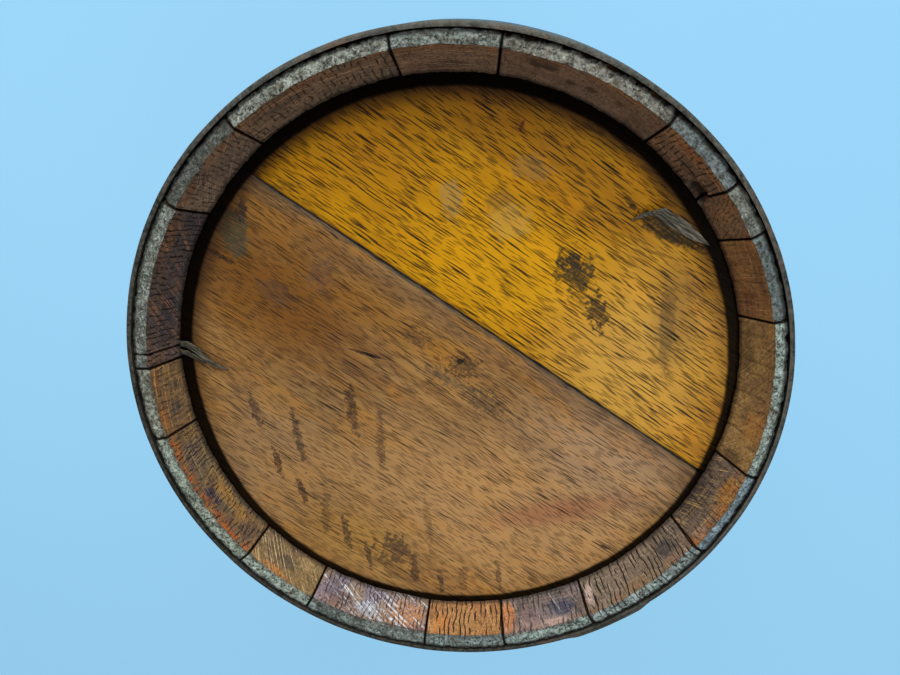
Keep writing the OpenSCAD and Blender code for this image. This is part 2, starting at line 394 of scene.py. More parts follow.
def outer_oak(name, turn, seed):
    """Weathered long-grain oak on the outside of a stave, darker beside the hoops."""
    p = Paint(name)
    x, y, z = p.parts(p.place(turn))
    arc = p.times(p.math("ARCTAN2", y, x), 140.0)
    face = p.join(arc, z, 0.0)
    sway = p.times(p.streaks(face, (30.0, 90.0, 1.0), 2.0, 0.5, seed), 9.0)
    along = p.join(p.add(arc, sway), z, 0.0)
    ring = p.streaks(along, (3.2, 240.0, 1.0), 4.0, 0.6, seed + 1.0)
    hair = p.streaks(along, (0.55, 26.0, 1.0), 3.0, 0.6, seed + 2.0)
    colour = p.ramp(ring, [(0.28, "3a2415"), (0.45, "6b4426"), (0.6, "8a5a31"), (0.75, "a06f3f")])
    pore = p.step(p.cells(p.sized(along, (0.9, 13.0, 1.0)), "2D"), 0.28, 0.16)
    dense = p.step(ring, 0.52, 0.4)
    colour = p.mix(p.times(pore, dense, 0.8), colour, "1f140c")
    colour = p.mix(p.step(hair, 0.5, 0.72, 0.0, 0.35), colour, "b98a55")
    stain = p.streaks(face, (28.0, 60.0, 1.0), 5.0, 0.62, seed + 3.0, 0.5)
    colour = p.mix(p.step(stain, 0.5, 0.68, 0.0, 0.7), colour, "2c211a")
    grey = p.streaks(face, (16.0, 40.0, 1.0), 4.0, 0.6, seed + 4.0)
    colour = p.mix(p.step(grey, 0.56, 0.7, 0.0, 0.45), colour, "8b8377")
    # Grime between the two upper hoops, and between the two lower ones
    hooped = p.step(p.absolute(p.minus(p.end_depth(z), 44.0)), 20.0, 9.0)
    colour = p.mix(p.times(hooped, 0.25), colour, "2a1d14")
    height = p.add(p.times(ring, 0.35), p.times(hair, 0.18), p.times(pore, dense, -0.25))
    return p.finish(colour, p.step(stain, 0.35, 0.7, 0.5, 0.75), height, coat=0.04)


def inner_oak(name, seed):
    """Plain long-grain oak of the hidden faces, stained by wine."""
    p = Paint(name)
    where = p.place()
    long = p.streaks(where, (2.0, 2.0, 70.0), 4.0, 0.6, seed)
    stain = p.grain(where, 40.0, 4.0, 0.6, seed + 1.0)
    colour = p.ramp(long, [(0.3, "2e1b12"), (0.5, "54351f"), (0.7, "6f4a2b")])
    colour = p.mix(p.step(stain, 0.45, 0.62, 0.0, 0.7), colour, "3a161b")
    return p.finish(colour, p.step(stain, 0.3, 0.7, 0.7, 0.85), p.times(long, 0.3))


SHADE_TURN = 104.0      # azimuth where the painted shadow and shade at the rim of the head are deepest


def head_oak(name, seed, board):
    """Varnished oak of a head board, with its grain along the joint between the boards."""
    p = Paint(name)
    where = p.place()
    x, y, z = p.parts(where)
    flat = p.join(x, y, 0.0)
    u, v, _ = p.parts(p.turned(flat, 90.0 - SEAM_TURN))
    sheet = p.join(u, v, 0.0)
    sway = p.times(p.streaks(sheet, (70.0, 22.0, 1.0), 2.0, 0.5, seed), board["sway"])
    v = p.add(v, sway)
    along = p.join(u, v, 0.0)
    ring = p.streaks(along, (150.0, 3.6, 1.0), 4.0, 0.6, seed + 1.0)
    hair = p.streaks(along, (24.0, 0.42, 1.0), 3.0, 0.6, seed + 2.0)
    tone = p.streaks(along, (60.0, 34.0, 1.0), 4.0, 0.55, seed + 3.0)
    colour = p.mix(p.step(tone, 0.38, 0.62), board["deep"], board["main"])
    colour = p.mix(p.step(ring, 0.42, 0.66, 0.0, board["rings"]), colour, board["bright"])
    colour = p.mix(p.step(hair, 0.46, 0.66, 0.0, board["hair"]), colour, board["deep"])
    cloud = p.grain(flat, 12.0, 4.0, 0.65, seed + 4.0, 0.5)
    colour = p.mix(p.step(cloud, 0.52, 0.7, 0.0, board["cloud"]), colour, board["stain"])
    glow = p.streaks(along, (40.0, 11.0, 1.0), 4.0, 0.6, seed + 12.0, 0.4)
    colour = p.mix(p.step(glow, 0.5, 0.64, 0.0, board["glow"]), colour, board["amber"])
    streak = p.streaks(along, (46.0, 0.8, 1.0), 3.0, 0.6, seed + 13.0)
    colour = p.mix(p.step(streak, 0.55, 0.68, 0.0, board["streak"]), colour, board["stain"])
    for centre, size, turn, share, code in board["tints"]:
        colour = p.mix(p.times(p.mark(flat, centre, size, turn, 0.12, 30.0, seed, 0.85), share),
                       colour, code)
    # Open pores: short dark dashes along the grain
    gate = p.streaks(along, (24.0, 5.0, 1.0), 3.0, 0.6, seed + 5.0)
    long_pores = p.step(p.cells(p.sized(along, board["pore"]), "2D"), 0.27, 0.2)
    long_pores = p.times(long_pores, p.step(gate, board["open"], board["open"] + 0.08))
    short = p.cells(p.sized(p.shifted(along, 7.7), (board["pore"][0] * 0.5, 0.6, 1.0)), "2D")
    short_pores = p.times(p.step(short, 0.25, 0.16), p.step(gate, 0.6, 0.5))
    pores = p.math("MAXIMUM", long_pores, p.times(short_pores, board["short"]))
    colour = p.mix(p.times(pores, board["ink"]), colour, "12100e")
    height = p.add(p.times(ring, 0.12), p.times(hair, 0.05), p.times(pores, -0.28))
    mottle = p.add(p.times(p.grain(flat, 1.3, 4.0, 0.7, seed + 11.0), 0.5), p.times(hair, 0.5))
    for centre, size, turn, ragged, scale, share, code, *lift in board["marks"]:
        shape = p.mark(flat, centre, size, turn, ragged, scale, seed + size[0])
        shape = p.times(shape, p.step(mottle, 0.36, 0.56, 0.25, 1.0))
        colour = p.mix(p.times(shape, share), colour, code)
        if lift:
            height = p.add(height, p.times(shape, *lift))
    # Dark line along the joint. Where the head meets the staves: a black ring that is dirt and painted
    # shadow of the rim, wider towards SHADE_TURN, and inside it painted brown shade on that side
    joint = p.absolute(p.minus(p.minus(v, sway), board["seam"]))
    joint = p.add(joint, p.times(p.streaks(sheet, (7.0, 2.0, 1.0), 3.0, 0.6, seed + 6.0), 1.4))
    colour = p.mix(p.step(joint, board["joint_w"] + 1.2, 0.9, 0.0, 0.75), colour, "3a3630")
    colour = p.mix(p.step(joint, 1.25, 0.85), colour, "0b0907")
    radius = p.length(x, y)
    side = p.math("COSINE", p.minus(p.math("ARCTAN2", y, x), math.radians(SHADE_TURN)))
    # How far the painted shadow reaches in, further on the side towards SHADE_TURN
    reach = p.step(side, -0.68, 0.1, 0.0, board["shadow_reach"])
    reach = p.add(radius, reach, p.times(p.grain(flat, 9.0, 3.0, 0.6, seed + 8.0), 1.2))
    shade = p.times(p.step(reach, 103.0, 112.0), p.step(side, -0.5, 0.5, 0.0, board["shade"]))
    colour = p.mix(shade, colour, "2a1406")
    black = p.step(reach, 110.4, 112.0)
    colour = p.mix(p.times(black, 0.97), colour, "080605")
    outside_ring = p.minus(1.0, black)
    rough = p.step(cloud, 0.35, 0.68, board["rough"], board["rough"] + 0.18)
    return p.finish(colour, p.mix_value(outside_ring, 0.95, rough), height, coat=board["coat"],
                    gloss=p.times(outside_ring, board["gloss"]))


def hoop_iron(name, seed):
    """Old hoop iron: dark patina in mottled greys, rust patches and freckles."""
    p = Paint(name)
    where = p.place()
    x, y, z = p.parts(where)
    fine = p.grain(where, 1.6, 4.0, 0.7, seed, 0.4)
    wide = p.grain(where, 16.0, 5.0, 0.65, seed + 1.0, 0.5)
    drawn = p.streaks(where, (14.0, 14.0, 0.6), 2.0, 0.6, seed + 2.0)
    colour = p.ramp(p.add(p.times(fine, 0.6), p.times(wide, 0.4)),
                    [(0.36, "1f1d19"), (0.47, "41403a"), (0.57, "5f5c53"), (0.68, "888478")])
    rust = p.step(p.add(p.times(wide, 0.7), p.times(fine, 0.3)), 0.53, 0.64)
    colour = p.mix(p.times(rust, 0.75), colour, "54361f")
    flecks = p.step(p.cells(p.sized(where, (3.0, 3.0, 3.0))), 0.22, 0.1)
    colour = p.mix(p.times(flecks, 0.5), colour, "6b4324")
    height = p.add(p.times(fine, 0.12), p.times(wide, 0.3), p.times(drawn, 0.04), p.times(rust, 0.06))
    metal = p.step(rust, 0.0, 1.0, 0.45, 0.05)
    return p.finish(colour, p.step(fine, 0.3, 0.7, 0.42, 0.68), height, metal)


def bung_oak(name, turn, seed):
    """Turned oak of the bung: growth rings on its face and grain along it."""
    p = Paint(name)
    x, y, z = p.parts(p.place(turn))
    up = p.minus(z, BUNG_Z)
    grain = p.join(x, p.add(y, p.times(up, 0.18)), p.times(up, 0.2))
    ring = p.streaks(grain, (60.0, 1.5, 3.0), 4.0, 0.6, seed)
    hair = p.streaks(grain, (18.0, 0.4, 0.6), 3.0, 0.6, seed + 1.0)
    colour = p.ramp(ring, [(0.3, "6d4520"), (0.5, "a1713a"), (0.7, "c39a5c")])
    colour = p.mix(p.step(hair, 0.5, 0.7, 0.0, 0.5), colour, "5a3a1e")
    across = p.length(y, up)
    worn = p.step(p.add(across, p.times(ring, 5.0)), 15.0, 17.6)
    colour = p.mix(p.times(worn, 0.55), colour, "3a2417")
    inside = p.step(x, 133.0, 127.0)
    colour = p.mix(p.times(inside, 0.7), colour, "3a1219")
    height = p.add(p.times(ring, 0.3), p.times(hair, 0.15))
    return p.finish(colour, p.step(ring, 0.3, 0.7, 0.62, 0.5), height)


def splinter_oak(name, seed):
    """Grey torn fibres of a lifted splinter."""
    p = Paint(name)
    sheet = p.turned(p.place(), 90.0 - SEAM_TURN)
    fibre = p.streaks(sheet, (7.0, 0.35, 0.5), 4.0, 0.65, seed)
    colour = p.ramp(fibre, [(0.38, "14120f"), (0.47, "46433a"), (0.55, "77705f"), (0.66, "a89f88")])
    return p.finish(colour, p.step(fibre, 0.3, 0.7, 0.85, 0.65), p.times(fibre, 0.4))


# ------------------------------------------------------------------------------------------- meshes

def new_piece(name, bm, materials, body="cask", slot=None, sharp=38.0):
    """Turns a bmesh into a smooth-shaded piece that rides on a CAD body."""
    bmesh.ops.recalc_face_normals(bm, faces=bm.faces[:])
    mesh = bpy.data.meshes.new(name)
    bm.to_mesh(mesh)
    bm.free()
    for material in materials:
        mesh.materials.append(material)
    mesh.shade_smooth()
    mesh.set_sharp_from_angle(angle=math.radians(sharp))
    piece = bpy.data.objects.new(name, mesh)
    bpy.context.scene.collection.objects.link(piece)
    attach(piece, body)
    return piece


def bridge(bm, low, high, zone, low_at=None, high_at=None):
    """Faces between two rows of vertices. The *_at lists give each vertex's column number, and a row
    with fewer columns meets the other with wider faces."""
    low_at = low_at or list(range(len(low)))
    high_at = high_at or list(range(len(high)))
    few = low_at if len(low_at) <= len(high_at) else high_at
    for a, b in zip(few, few[1:]):
        under = low[low_at.index(a):low_at.index(b) + 1]
        above = high[high_at.index(a):high_at.index(b) + 1]
        face = bm.faces.new(under + above[::-1])
        face.material_index = zone


def ring_faces(bm, low, high):
    """Faces between two closed loops of vertices."""
    for k in range(len(low)):
        j = (k + 1) % len(low)
        bm.faces.new((low[k], low[j], high[j], high[k]))


def stave_span(node):
    """Azimuths where a CAD stave begins and ends, in degrees."""
    points = [v.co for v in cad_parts[node].data.vertices]
    middle = sum((Vector((p.x, p.y)) for p in points), Vector((0.0, 0.0)))
    centre = math.atan2(middle.y, middle.x)
    turns = [(math.atan2(p.y, p.x) - centre + math.pi) % (2 * math.pi) - math.pi for p in points]
    return math.degrees(centre + min(turns)), math.degrees(centre + max(turns))


OUTSIDE, FLAT, BEVEL, INSIDE = range(4)
JOINT_LINE = 0.75       # width of the dark line along each side of a joint
JOINT_ROUND = 0.8       # how far the rounding of a stave's long edges reaches in from the joint
JOINT_DROP = 0.7        # how deep that rounding is
BOTTOM_SHIFT = 500.0    # moves the noise of the lower end away from that of the upper end

# Rows of a stave end: (depth, how much the broken edge bites in) outside, then shares of the way
# across the flat and down the bevel
EDGE_ROWS = ((8.0, 0.0), (5.0, 0.25), (3.2, 0.55), (1.7, 0.85))
FLAT_SHARES = (0.0, 0.1, 0.22, 0.36, 0.5, 0.64, 0.78, 0.9, 1.0)
BEVEL_SHARES = (0.03, 0.08, 0.14, 0.21, 0.28, 0.35, 0.42, 0.49, 0.56, 0.63, 0.7, 0.77, 0.84, 0.91, 0.97)


def stave_columns(start, end, pitch, cracks):
    """Azimuths of the fine columns of a stave, closer at its joints and its cracks."""
    mm = math.degrees(1.0 / ARC_R)
    near = [0.0, 0.25, 0.55, 1.0]
    inner = (end - start) / mm - 2 * near[-1]
    count = max(4, round(inner / pitch / 4) * 4 + 2)
    middle = [near[-1] + inner * k / count for k in range(1, count)]
    far = [inner + 2 * near[-1] - n for n in reversed(near)]
    arcs = near + middle + far
    for crack in cracks:
        at = (crack["turn"] - start) / mm
        k = min(range(4, len(arcs) - 4), key=lambda i: abs(arcs[i] - at))
        for shift, side in ((-1, -0.5), (0, 0.0), (1, 0.5)):
            arcs[k + shift] = at + side * crack["wide"]
    return [start + a * mm for a in arcs]


def end_profile(turn, start, end, look, seed, top):
    """Radius, depth and zone of each fine row of a stave end at one azimuth."""
    arc = math.radians(turn) * ARC_R
    side = 0.0 if top else BOTTOM_SHIFT
    edge = math.radians(min(turn - start, end - turn)) * ARC_R
    drop = JOINT_DROP * (1 - ease(0.0, JOINT_ROUND, edge))

    def n(size, k):
        """Noise along the stave end, different for each number k."""
        return lump(arc / size + side, seed * 3.7 + k, k * 1.3)

    ragged = look["ragged"] * clamp(0.45 + 1.1 * n(4.0, 1) + 0.7 * n(1.1, 2), 0.0, 1.8)
    edge_r = END_R - 0.5 - ragged
    flat_in = look["flat_in"] + 0.35 * n(7.0, 3) + 0.18 * n(1.6, 4)
    lip_r = look["lip"] + 0.25 * n(5.0, 5) + 0.22 * n(1.3, 6)
    split = 0.0
    for crack in look["cracks"]:
        away = math.radians(abs(turn - crack["turn"])) * ARC_R
        split = max(split, crack["deep"] * clamp(1 - away / (crack["wide"] * 0.5)))

    def dug(r, depth):
        """How deep the broken corners of the upper end go at one place."""
        total = 0.0
        for chip in look["chips"]:
            dx = math.radians(turn - chip["turn"]) * ARC_R
            dy = math.hypot(r - chip["r"], depth - chip["depth"])
            away = math.hypot(dx / chip["size"][0], dy / chip["size"][1])
            rough = 0.35 * lump(arc / 1.4, r / 1.4, depth / 1.4)
            total = max(total, chip["deep"] * (1 - ease(0.55, 1.0, away + rough)))
        return total if top else 0.0

    rows = []
    for depth, share in EDGE_ROWS:
        r = bow_r(BARREL_H - depth)
        bite = share * (END_R - edge_r - 0.4) * (0.8 + 0.5 * n(2.0, 7 + depth))
        rows.append((r - max(0.0, bite) - drop, depth, OUTSIDE if depth > 4 else FLAT))
    for share in FLAT_SHARES:
        r = edge_r + (flat_in - edge_r) * share
        rough = lump(arc / 1.5, r / 1.5 + side, seed, 3)
        pits = lump(arc / 3.5, r / 2.5 + side, seed + 9.0, 2)
        depth = 0.22 + 0.3 * rough + 0.4 * max(0.0, pits)
        depth += (0.9 + 0.7 * rough) * (1 - ease(0.0, 0.3, share)) * clamp(0.25 + look["ragged"] / 2.5)
        depth = max(0.0, depth) + drop + split + dug(r, depth)
        rows.append((r, depth, FLAT if share < 1 else BEVEL))
    slope = math.hypot(flat_in - lip_r, LIP_DEPTH)
    out_r, out_d = LIP_DEPTH / slope, (flat_in - lip_r) / slope
    for share in BEVEL_SHARES:
        r = flat_in + (lip_r - flat_in) * share
        depth = 0.3 + (LIP_DEPTH - 0.3) * share
        wave = 0.22 * lump(arc / 9.0, depth / 14.0 + side, seed + 4.0, 2)
        skewed = (arc + look["skew"] * depth) / look["pitch"]
        comb = 0.09 * look["kerf"] * max(0.0, math.sin(2 * math.pi * skewed + 3 * n(30.0, 8)))
        fine = 0.06 * lump(arc / 1.2, depth / 1.2 + side, seed + 5.0, 2)
        inward = drop + split + comb + fine + wave * math.sin(math.pi * share) + dug(r, depth)
        rows.append((r + inward * out_r, depth + inward * out_d, BEVEL))
    rows.append((lip_r + drop, LIP_DEPTH, BEVEL))
    rows.append((lip_r + 0.5 + drop, LIP_DEPTH + 0.5, INSIDE))
    return rows


def stave_mesh(node, look, seed):
    """A whole stave as one closed solid: fine rows at both ends and coarser ones between."""
    start, end = stave_span(node)
    turns = stave_columns(start, end, FINE_PITCH, look["cracks"])
    last = len(turns) - 1
    coarse = sorted({0, 1, last - 1, last} | set(range(4, last - 3, 4)))
    bm = bmesh.new()

    def fine_rows(top):
        columns = [end_profile(t, start, end, look, seed, top) for t in turns]
        rows = []
        for k in range(len(columns[0])):
            row = []
            for turn, column in zip(turns, columns):
                r, depth, _ = column[k]
                row.append(bm.verts.new(at_turn(r, turn, BARREL_H - depth if top else depth)))
            rows.append((row, list(range(last + 1)), columns[0][k][2]))
        return rows

    def coarse_row(radius, z, zone, rough=0.0):
        row = []
        for k in coarse:
            arc = math.radians(turns[k]) * 130.0
            drop = 0.35 if k in (0, last) else 0.0
            r = radius(z) - drop if zone == OUTSIDE else radius(z) + drop
            r += rough * lump(arc / 16.0, z / 55.0, seed, 2)
            row.append(bm.verts.new(at_turn(r, turns[k], z)))
        return row, coarse, zone

    outside = []
    for k in range(FACE_ROWS + 1):
        z = FACE_ROW_END + (BARREL_H - 2 * FACE_ROW_END) * k / FACE_ROWS
        outside.append(coarse_row(bow_r, z, OUTSIDE, 0.25))
    top = fine_rows(True)
    bottom = fine_rows(False)
    inside = []
    groove = [
        (HOWEL_R, CROZE_DEPTH[0] - 0.3), (HOWEL_R, CROZE_DEPTH[0]), (CROZE_R, CROZE_DEPTH[0]),
        (CROZE_R, CROZE_DEPTH[1]), (HOWEL_R, CROZE_DEPTH[1]), (HOWEL_R, HOWEL_END)]
    for r, depth in groove:
        inside.append(coarse_row(lambda z, r=r: r, BARREL_H - depth, INSIDE))
    for k in range(BORE_ROWS + 1):
        z = BARREL_H - HOWEL_FADE - (BARREL_H - 2 * HOWEL_FADE) * k / BORE_ROWS
        inside.append(coarse_row(inner_r, z, INSIDE))
    for r, depth in reversed(groove):
        inside.append(coarse_row(lambda z, r=r: r, depth, INSIDE))
    loop = outside + top + inside + [(row, at, z) for row, at, z in reversed(bottom)]
    for k, (row, at, zone) in enumerate(loop):
        after, after_at, after_zone = loop[(k + 1) % len(loop)]
        # The zone belongs to the face below a row at the top end, and above it at the bottom end
        bridge(bm, row, after, zone if k < len(outside) + len(top) + len(inside) else after_zone,
               at, after_at)
    for side in (0, -1):
        cap = [row[side] for row, _, _ in loop]
        face = bm.faces.new(cap if side == 0 else cap[::-1])
        face.material_index = INSIDE
    return bm, (start + end) / 2, math.radians(end - start) / 2 * ARC_R


def turned_mesh(bm, profile, segments, place, wobble=None):
    """Closed solid of revolution about local +X. profile is (x, radius) from end to end."""
    rows = []
    for x, r in profile:
        ring = []
        for k in range(segments):
            a = 2 * math.pi * k / segments
            shift = wobble(x, r, a) if wobble else 0.0
            ring.append(bm.verts.new(place @ Vector((
                x * MM, (r + shift) * math.cos(a) * MM, (r + shift) * math.sin(a) * MM))))
        rows.append(ring)
    for low, high in zip(rows, rows[1:]):
        ring_faces(bm, low, high)
    bm.faces.new(rows[0][::-1])
    bm.faces.new(rows[-1])


def bung_place(turn):
    """Matrix that puts local +X on the bung's axis, pointing outwards."""
    return Matrix.Translation((0, 0, BUNG_Z * MM)) @ Matrix.Rotation(math.radians(turn), 4, "Z")


def bung_hole_r(x):
    """Radius of the tapered bung hole at a distance x from the barrel's axis."""
    return (BUNG_D + (x - bow_r(BUNG_Z)) / BUNG_TAPER) / 2


def cut_bung_hole(piece, turn, materials):
    """Bores the tapered bung hole through its stave."""
    bm = bmesh.new()
    ends = (END_R, END_R + 60.0)
    turned_mesh(bm, [(x, bung_hole_r(x)) for x in ends], 72, bung_place(turn))
    for face in bm.faces:
        face.material_index = INSIDE
    cutter = new_piece("bung_hole_cutter", bm, materials)
    bore = piece.modifiers.new("bore", "BOOLEAN")
    bore.operation = "DIFFERENCE"
    bore.solver = "EXACT"
    bore.object = cutter
    graph = bpy.context.evaluated_depsgraph_get()
    bored = bpy.data.meshes.new_from_object(piece.evaluated_get(graph))
    piece.modifiers.clear()
    piece.data = bored
    bpy.data.objects.remove(cutter)


def spread(k, columns):
    """Place of column k on a chord from -1 to 1, with the columns closer near its ends."""
    return math.sin((k / columns - 0.5) * math.pi) * 0.35 + (2 * k / columns - 1) * 0.65


def chord_point(c, share, limit):
    """Point on the chord of a disc that lies c from its middle, parallel to the boards' joint."""
    half = math.sqrt(max(limit ** 2 - c ** 2, 0.0))
    return SEAM_NORMAL * c + SEAM_ALONG * (half * share)


def head_rows(bm, seam, side, z_of, limit, pitch):
    """Grid of vertices over one board's outer face. Rows run along the joint, away from it."""
    span = limit - side * seam
    near = [0.0, 0.3, 0.8]
    count = round((span - near[-1]) / pitch)
    offsets = near + [near[-1] + (span - near[-1] - 0.4) * k / count for k in range(1, count + 1)]
    columns = round(2 * limit / pitch)
    rows = []
    for offset in offsets:
        row = []
        for k in range(columns + 1):
            point = chord_point(seam + side * offset, spread(k, columns), limit)
            row.append(bm.verts.new(Vector((point.x, point.y, z_of(point, offset))) * MM))
        rows.append(row)
    return rows, offsets


def head_board(name, seam, side, top, materials, pitch, seed, dents=()):
    """One head board: a waved outer face, rounded joint edge, and the tongue round its rim."""
    bm = bmesh.new()
    face_z = BARREL_H - HEAD_DEPTH if top else HEAD_DEPTH
    outward = 1.0 if top else -1.0

    def z_of(point, offset):
        sag = 0.4 * (1 - ease(0.0, 0.9, offset))
        sag += 0.12 * lump(point.x / 45.0, point.y / 45.0, seed, 2)
        sag += 0.05 * lump(point.x / 6.0, point.y / 6.0, seed + 5.0, 2)
        for x, y, radius, deep in dents:
            sag += deep * (1 - ease(0.2, 1.0, math.hypot(point.x - x, point.y - y) / radius))
        return face_z - outward * max(0.0, sag + 0.1)

    rows, offsets = head_rows(bm, seam, side, z_of, HEAD_R, pitch)
    for low, high in zip(rows, rows[1:]):
        bridge(bm, low, high, 0)

    def rim(limit, depth):
        """The outline of the board at another radius and depth, with the same number of vertices."""
        full = HEAD_R - side * seam
        span = limit - side * seam
        columns = len(rows[0]) - 1

        def vertex(offset, share):
            point = chord_point(seam + side * offset / full * span, share, limit)
            return bm.verts.new(Vector((point.x, point.y, face_z - outward * depth)) * MM)

        outline = [vertex(0.0, spread(k, columns)) for k in range(columns + 1)]
        outline += [vertex(offset, 1.0) for offset in offsets[1:]]
        outline += [vertex(offsets[-1], spread(k, columns)) for k in range(columns - 1, -1, -1)]
        outline += [vertex(offset, -1.0) for offset in reversed(offsets[1:-1])]
        return outline

    top_loop = rows[0] + [row[-1] for row in rows[1:]] + rows[-1][-2::-1]
    top_loop += [row[0] for row in reversed(rows[1:-1])]
    loops = [top_loop, rim(HEAD_R, TONGUE_T), rim(HEAD_R - TONGUE_W, TONGUE_T),
             rim(HEAD_R - TONGUE_W - HEAD_BEVEL_W, HEAD_T)]
    for low, high in zip(loops, loops[1:]):
        ring_faces(bm, low, high)
    bm.faces.new(loops[-1])
    bmesh.ops.remove_doubles(bm, verts=bm.verts[:], dist=1e-7)
    return new_piece(name, bm, materials)


def hoop_mesh(z0, width, lap, seed):
    """A hoop with rolled edges, small hammer dents, and its outer end lapped over the inner one."""
    bm = bmesh.new()
    low, high = bow_r(z0) + HOOP_GAP, bow_r(z0 + width) + HOOP_GAP
    lean = (high - low) / width

    def section(inner, outer, turn, droop=0.0):
        """Corners of the hoop's cross section at one azimuth, anticlockwise from the lower inside."""
        round_r = 0.35
        top = z0 + width
        dent = HAMMER_DENT * lump(math.radians(turn) * 8.0, seed, 0.3, 2)
        wave = 0.25 * lump(math.radians(turn) * 14.0, seed + 3.0, 1.7, 2)
        corners = (
            (inner, z0), (inner, z0 + width * 0.5 + wave), (inner, top),
            (inner + round_r, top - 0.02), (outer - round_r, top - 0.05), (outer, top - round_r),
            (outer - 0.08, z0 + width * 0.75), (outer - 0.12, z0 + width * 0.5),
            (outer - 0.08, z0 + width * 0.25), (outer, z0 + round_r), (outer - round_r, z0 + 0.05))
        points = []
        for t, z in corners:
            bulge = 0.13 * (1 - ((z - z0) / width * 2 - 1) ** 2)
            grow = dent * (1.0 if t > inner + 0.2 else 0.0)
            points.append(at_turn(low + lean * (z - z0) + t + bulge * 0.4 + grow + droop, turn, z))
        return points

    def sweep(first, last, steps, inner, outer, closed, droop):
        rings = []
        for k in range(steps if closed else steps + 1):
            turn = first + (last - first) * k / steps
            rings.append([bm.verts.new(p) for p in section(inner, outer, turn, droop(k / steps))])
        for a, b in zip(rings, rings[1:] + (rings[:1] if closed else [])):
            ring_faces(bm, a, b)
        if not closed:
            bm.faces.new(rings[0][::-1])
            bm.faces.new(rings[-1])

    sweep(0.0, 360.0, 300, 0.0, HOOP_T, True, lambda s: 0.0)
    sweep(lap - LAP_ANGLE / 2, lap + LAP_ANGLE / 2, 26, HOOP_T - 0.15, HOOP_T + LAP_T, False,
          lambda s: -(LAP_T - 0.1) * (ease(0.85, 1.0, s) + ease(0.15, 0.0, s)))
    return bm


def rivet_bmesh(bands):
    """Hand-set rivets with slightly flattened, uneven heads."""
    bm = bmesh.new()
    for number, (z0, width, lap) in enumerate(bands):
        rise = bow_r(z0 + width) - bow_r(z0)
        face = (bow_r(z0) + bow_r(z0 + width)) / 2 + HOOP_GAP
        lift = math.degrees(math.atan(-rise / width))
        for side in (-1, 1):
            seed = number * 2 + side
            place = (Matrix.Rotation(math.radians(lap + side * RIVET_TURN / 2), 4, "Z")
                     @ Matrix.Translation((face * MM, 0, (z0 + width / 2) * MM))
                     @ Matrix.Rotation(math.radians(-lift), 4, "Y"))
            base = HOOP_T + LAP_T + 0.05
            centre = base + RIVET_HEAD_H - RIVET_HEAD_R
            profile = [(0.1, RIVET_SHANK_R), (base - 0.25, RIVET_SHANK_R), (base - 0.25, 4.9),
                       (base + 0.1, 4.85)]
            for k in range(1, 8):
                a = math.asin((base - centre) / RIVET_HEAD_R)
                a += (math.pi / 2 - a) * k / 8
                profile.append((centre + RIVET_HEAD_R * math.sin(a) - (0.12 if k > 5 else 0.0),
                                RIVET_HEAD_R * math.cos(a)))
            turned_mesh(bm, profile, 28, place,
                        lambda x, r, a, s=seed: 0.16 * lump(x, math.cos(a) + s, math.sin(a), 2) * r / 4)
    return bm


def bung_bmesh(turn):
    """The tapered bung, with a sawn face and bruised edges."""
    bm = bmesh.new()
    out_x = bow_r(BUNG_Z) + BUNG_PROUD
    in_x = out_x - BUNG_L
    side_x = [in_x + 1.6 + (BUNG_L - 3.0) * k / 14 for k in range(15)]
    profile = [(in_x, 0.6), (in_x, 6.0), (in_x, 12.5), (in_x + 0.3, 12.9)]
    profile += [(x, bung_hole_r(x) - BUNG_GAP) for x in side_x]
    profile += [(out_x - 1.0, bung_hole_r(out_x) - BUNG_GAP - 0.1), (out_x - 0.35, 15.0),
                (out_x - 0.05, 14.4)]
    profile += [(out_x - 0.02 * k, 14.0 - k * 1.6) for k in range(0, 9)]

    def bruise(x, r, a):
        dent = 0.25 * lump(math.cos(a) * 2.2, math.sin(a) * 2.2, x / 3.0, 3)
        return min(0.0, dent) * ease(out_x - 9.0, out_x - 1.0, x) * ease(6.0, 14.0, r)

    turned_mesh(bm, profile, 96, bung_place(turn), bruise)
    return bm


def sheet_bmesh(spine, thickness, seed):
    """A thin torn flake along a line of (point on the head, width, lift off the head)."""
    bm = bmesh.new()
    across = 6
    z0 = BARREL_H - HEAD_DEPTH
    upper, lower = [], []
    for k, ((x, y), width, lift) in enumerate(spine):
        ax, ay = spine[max(0, k - 1)][0]
        bx, by = spine[min(len(spine) - 1, k + 1)][0]
        way = Vector((bx - ax, by - ay)).normalized()
        side = Vector((-way.y, way.x))
        up_row, low_row = [], []
        for j in range(across + 1):
            s = j / across - 0.5
            torn = 0.9 * lump(x / 1.1 + s * 3, y / 1.1, seed, 3) * (abs(s) * 2)
            px = x + side.x * (width * s + torn)
            py = y + side.y * (width * s + torn)
            z = z0 + 0.15 + lift * (0.5 + s) + 0.12 * lump(px, py, seed, 2)
            up_row.append(bm.verts.new(Vector((px, py, z + thickness)) * MM))
            low_row.append(bm.verts.new(Vector((px, py, z)) * MM))
        upper.append(up_row)
        lower.append(low_row)
    for a, b, c, d in zip(upper, upper[1:], lower, lower[1:]):
        bridge(bm, a, b, 0)
        bridge(bm, c[::-1], d[::-1], 0)
        bm.faces.new((a[0], b[0], d[0], c[0]))
        bm.faces.new((b[-1], a[-1], c[-1], d[-1]))
    bm.faces.new(upper[0] + lower[0][::-1])
    bm.faces.new(upper[-1][::-1] + lower[-1])
    return bm


# -------------------------------------------------------------------------------------------- looks

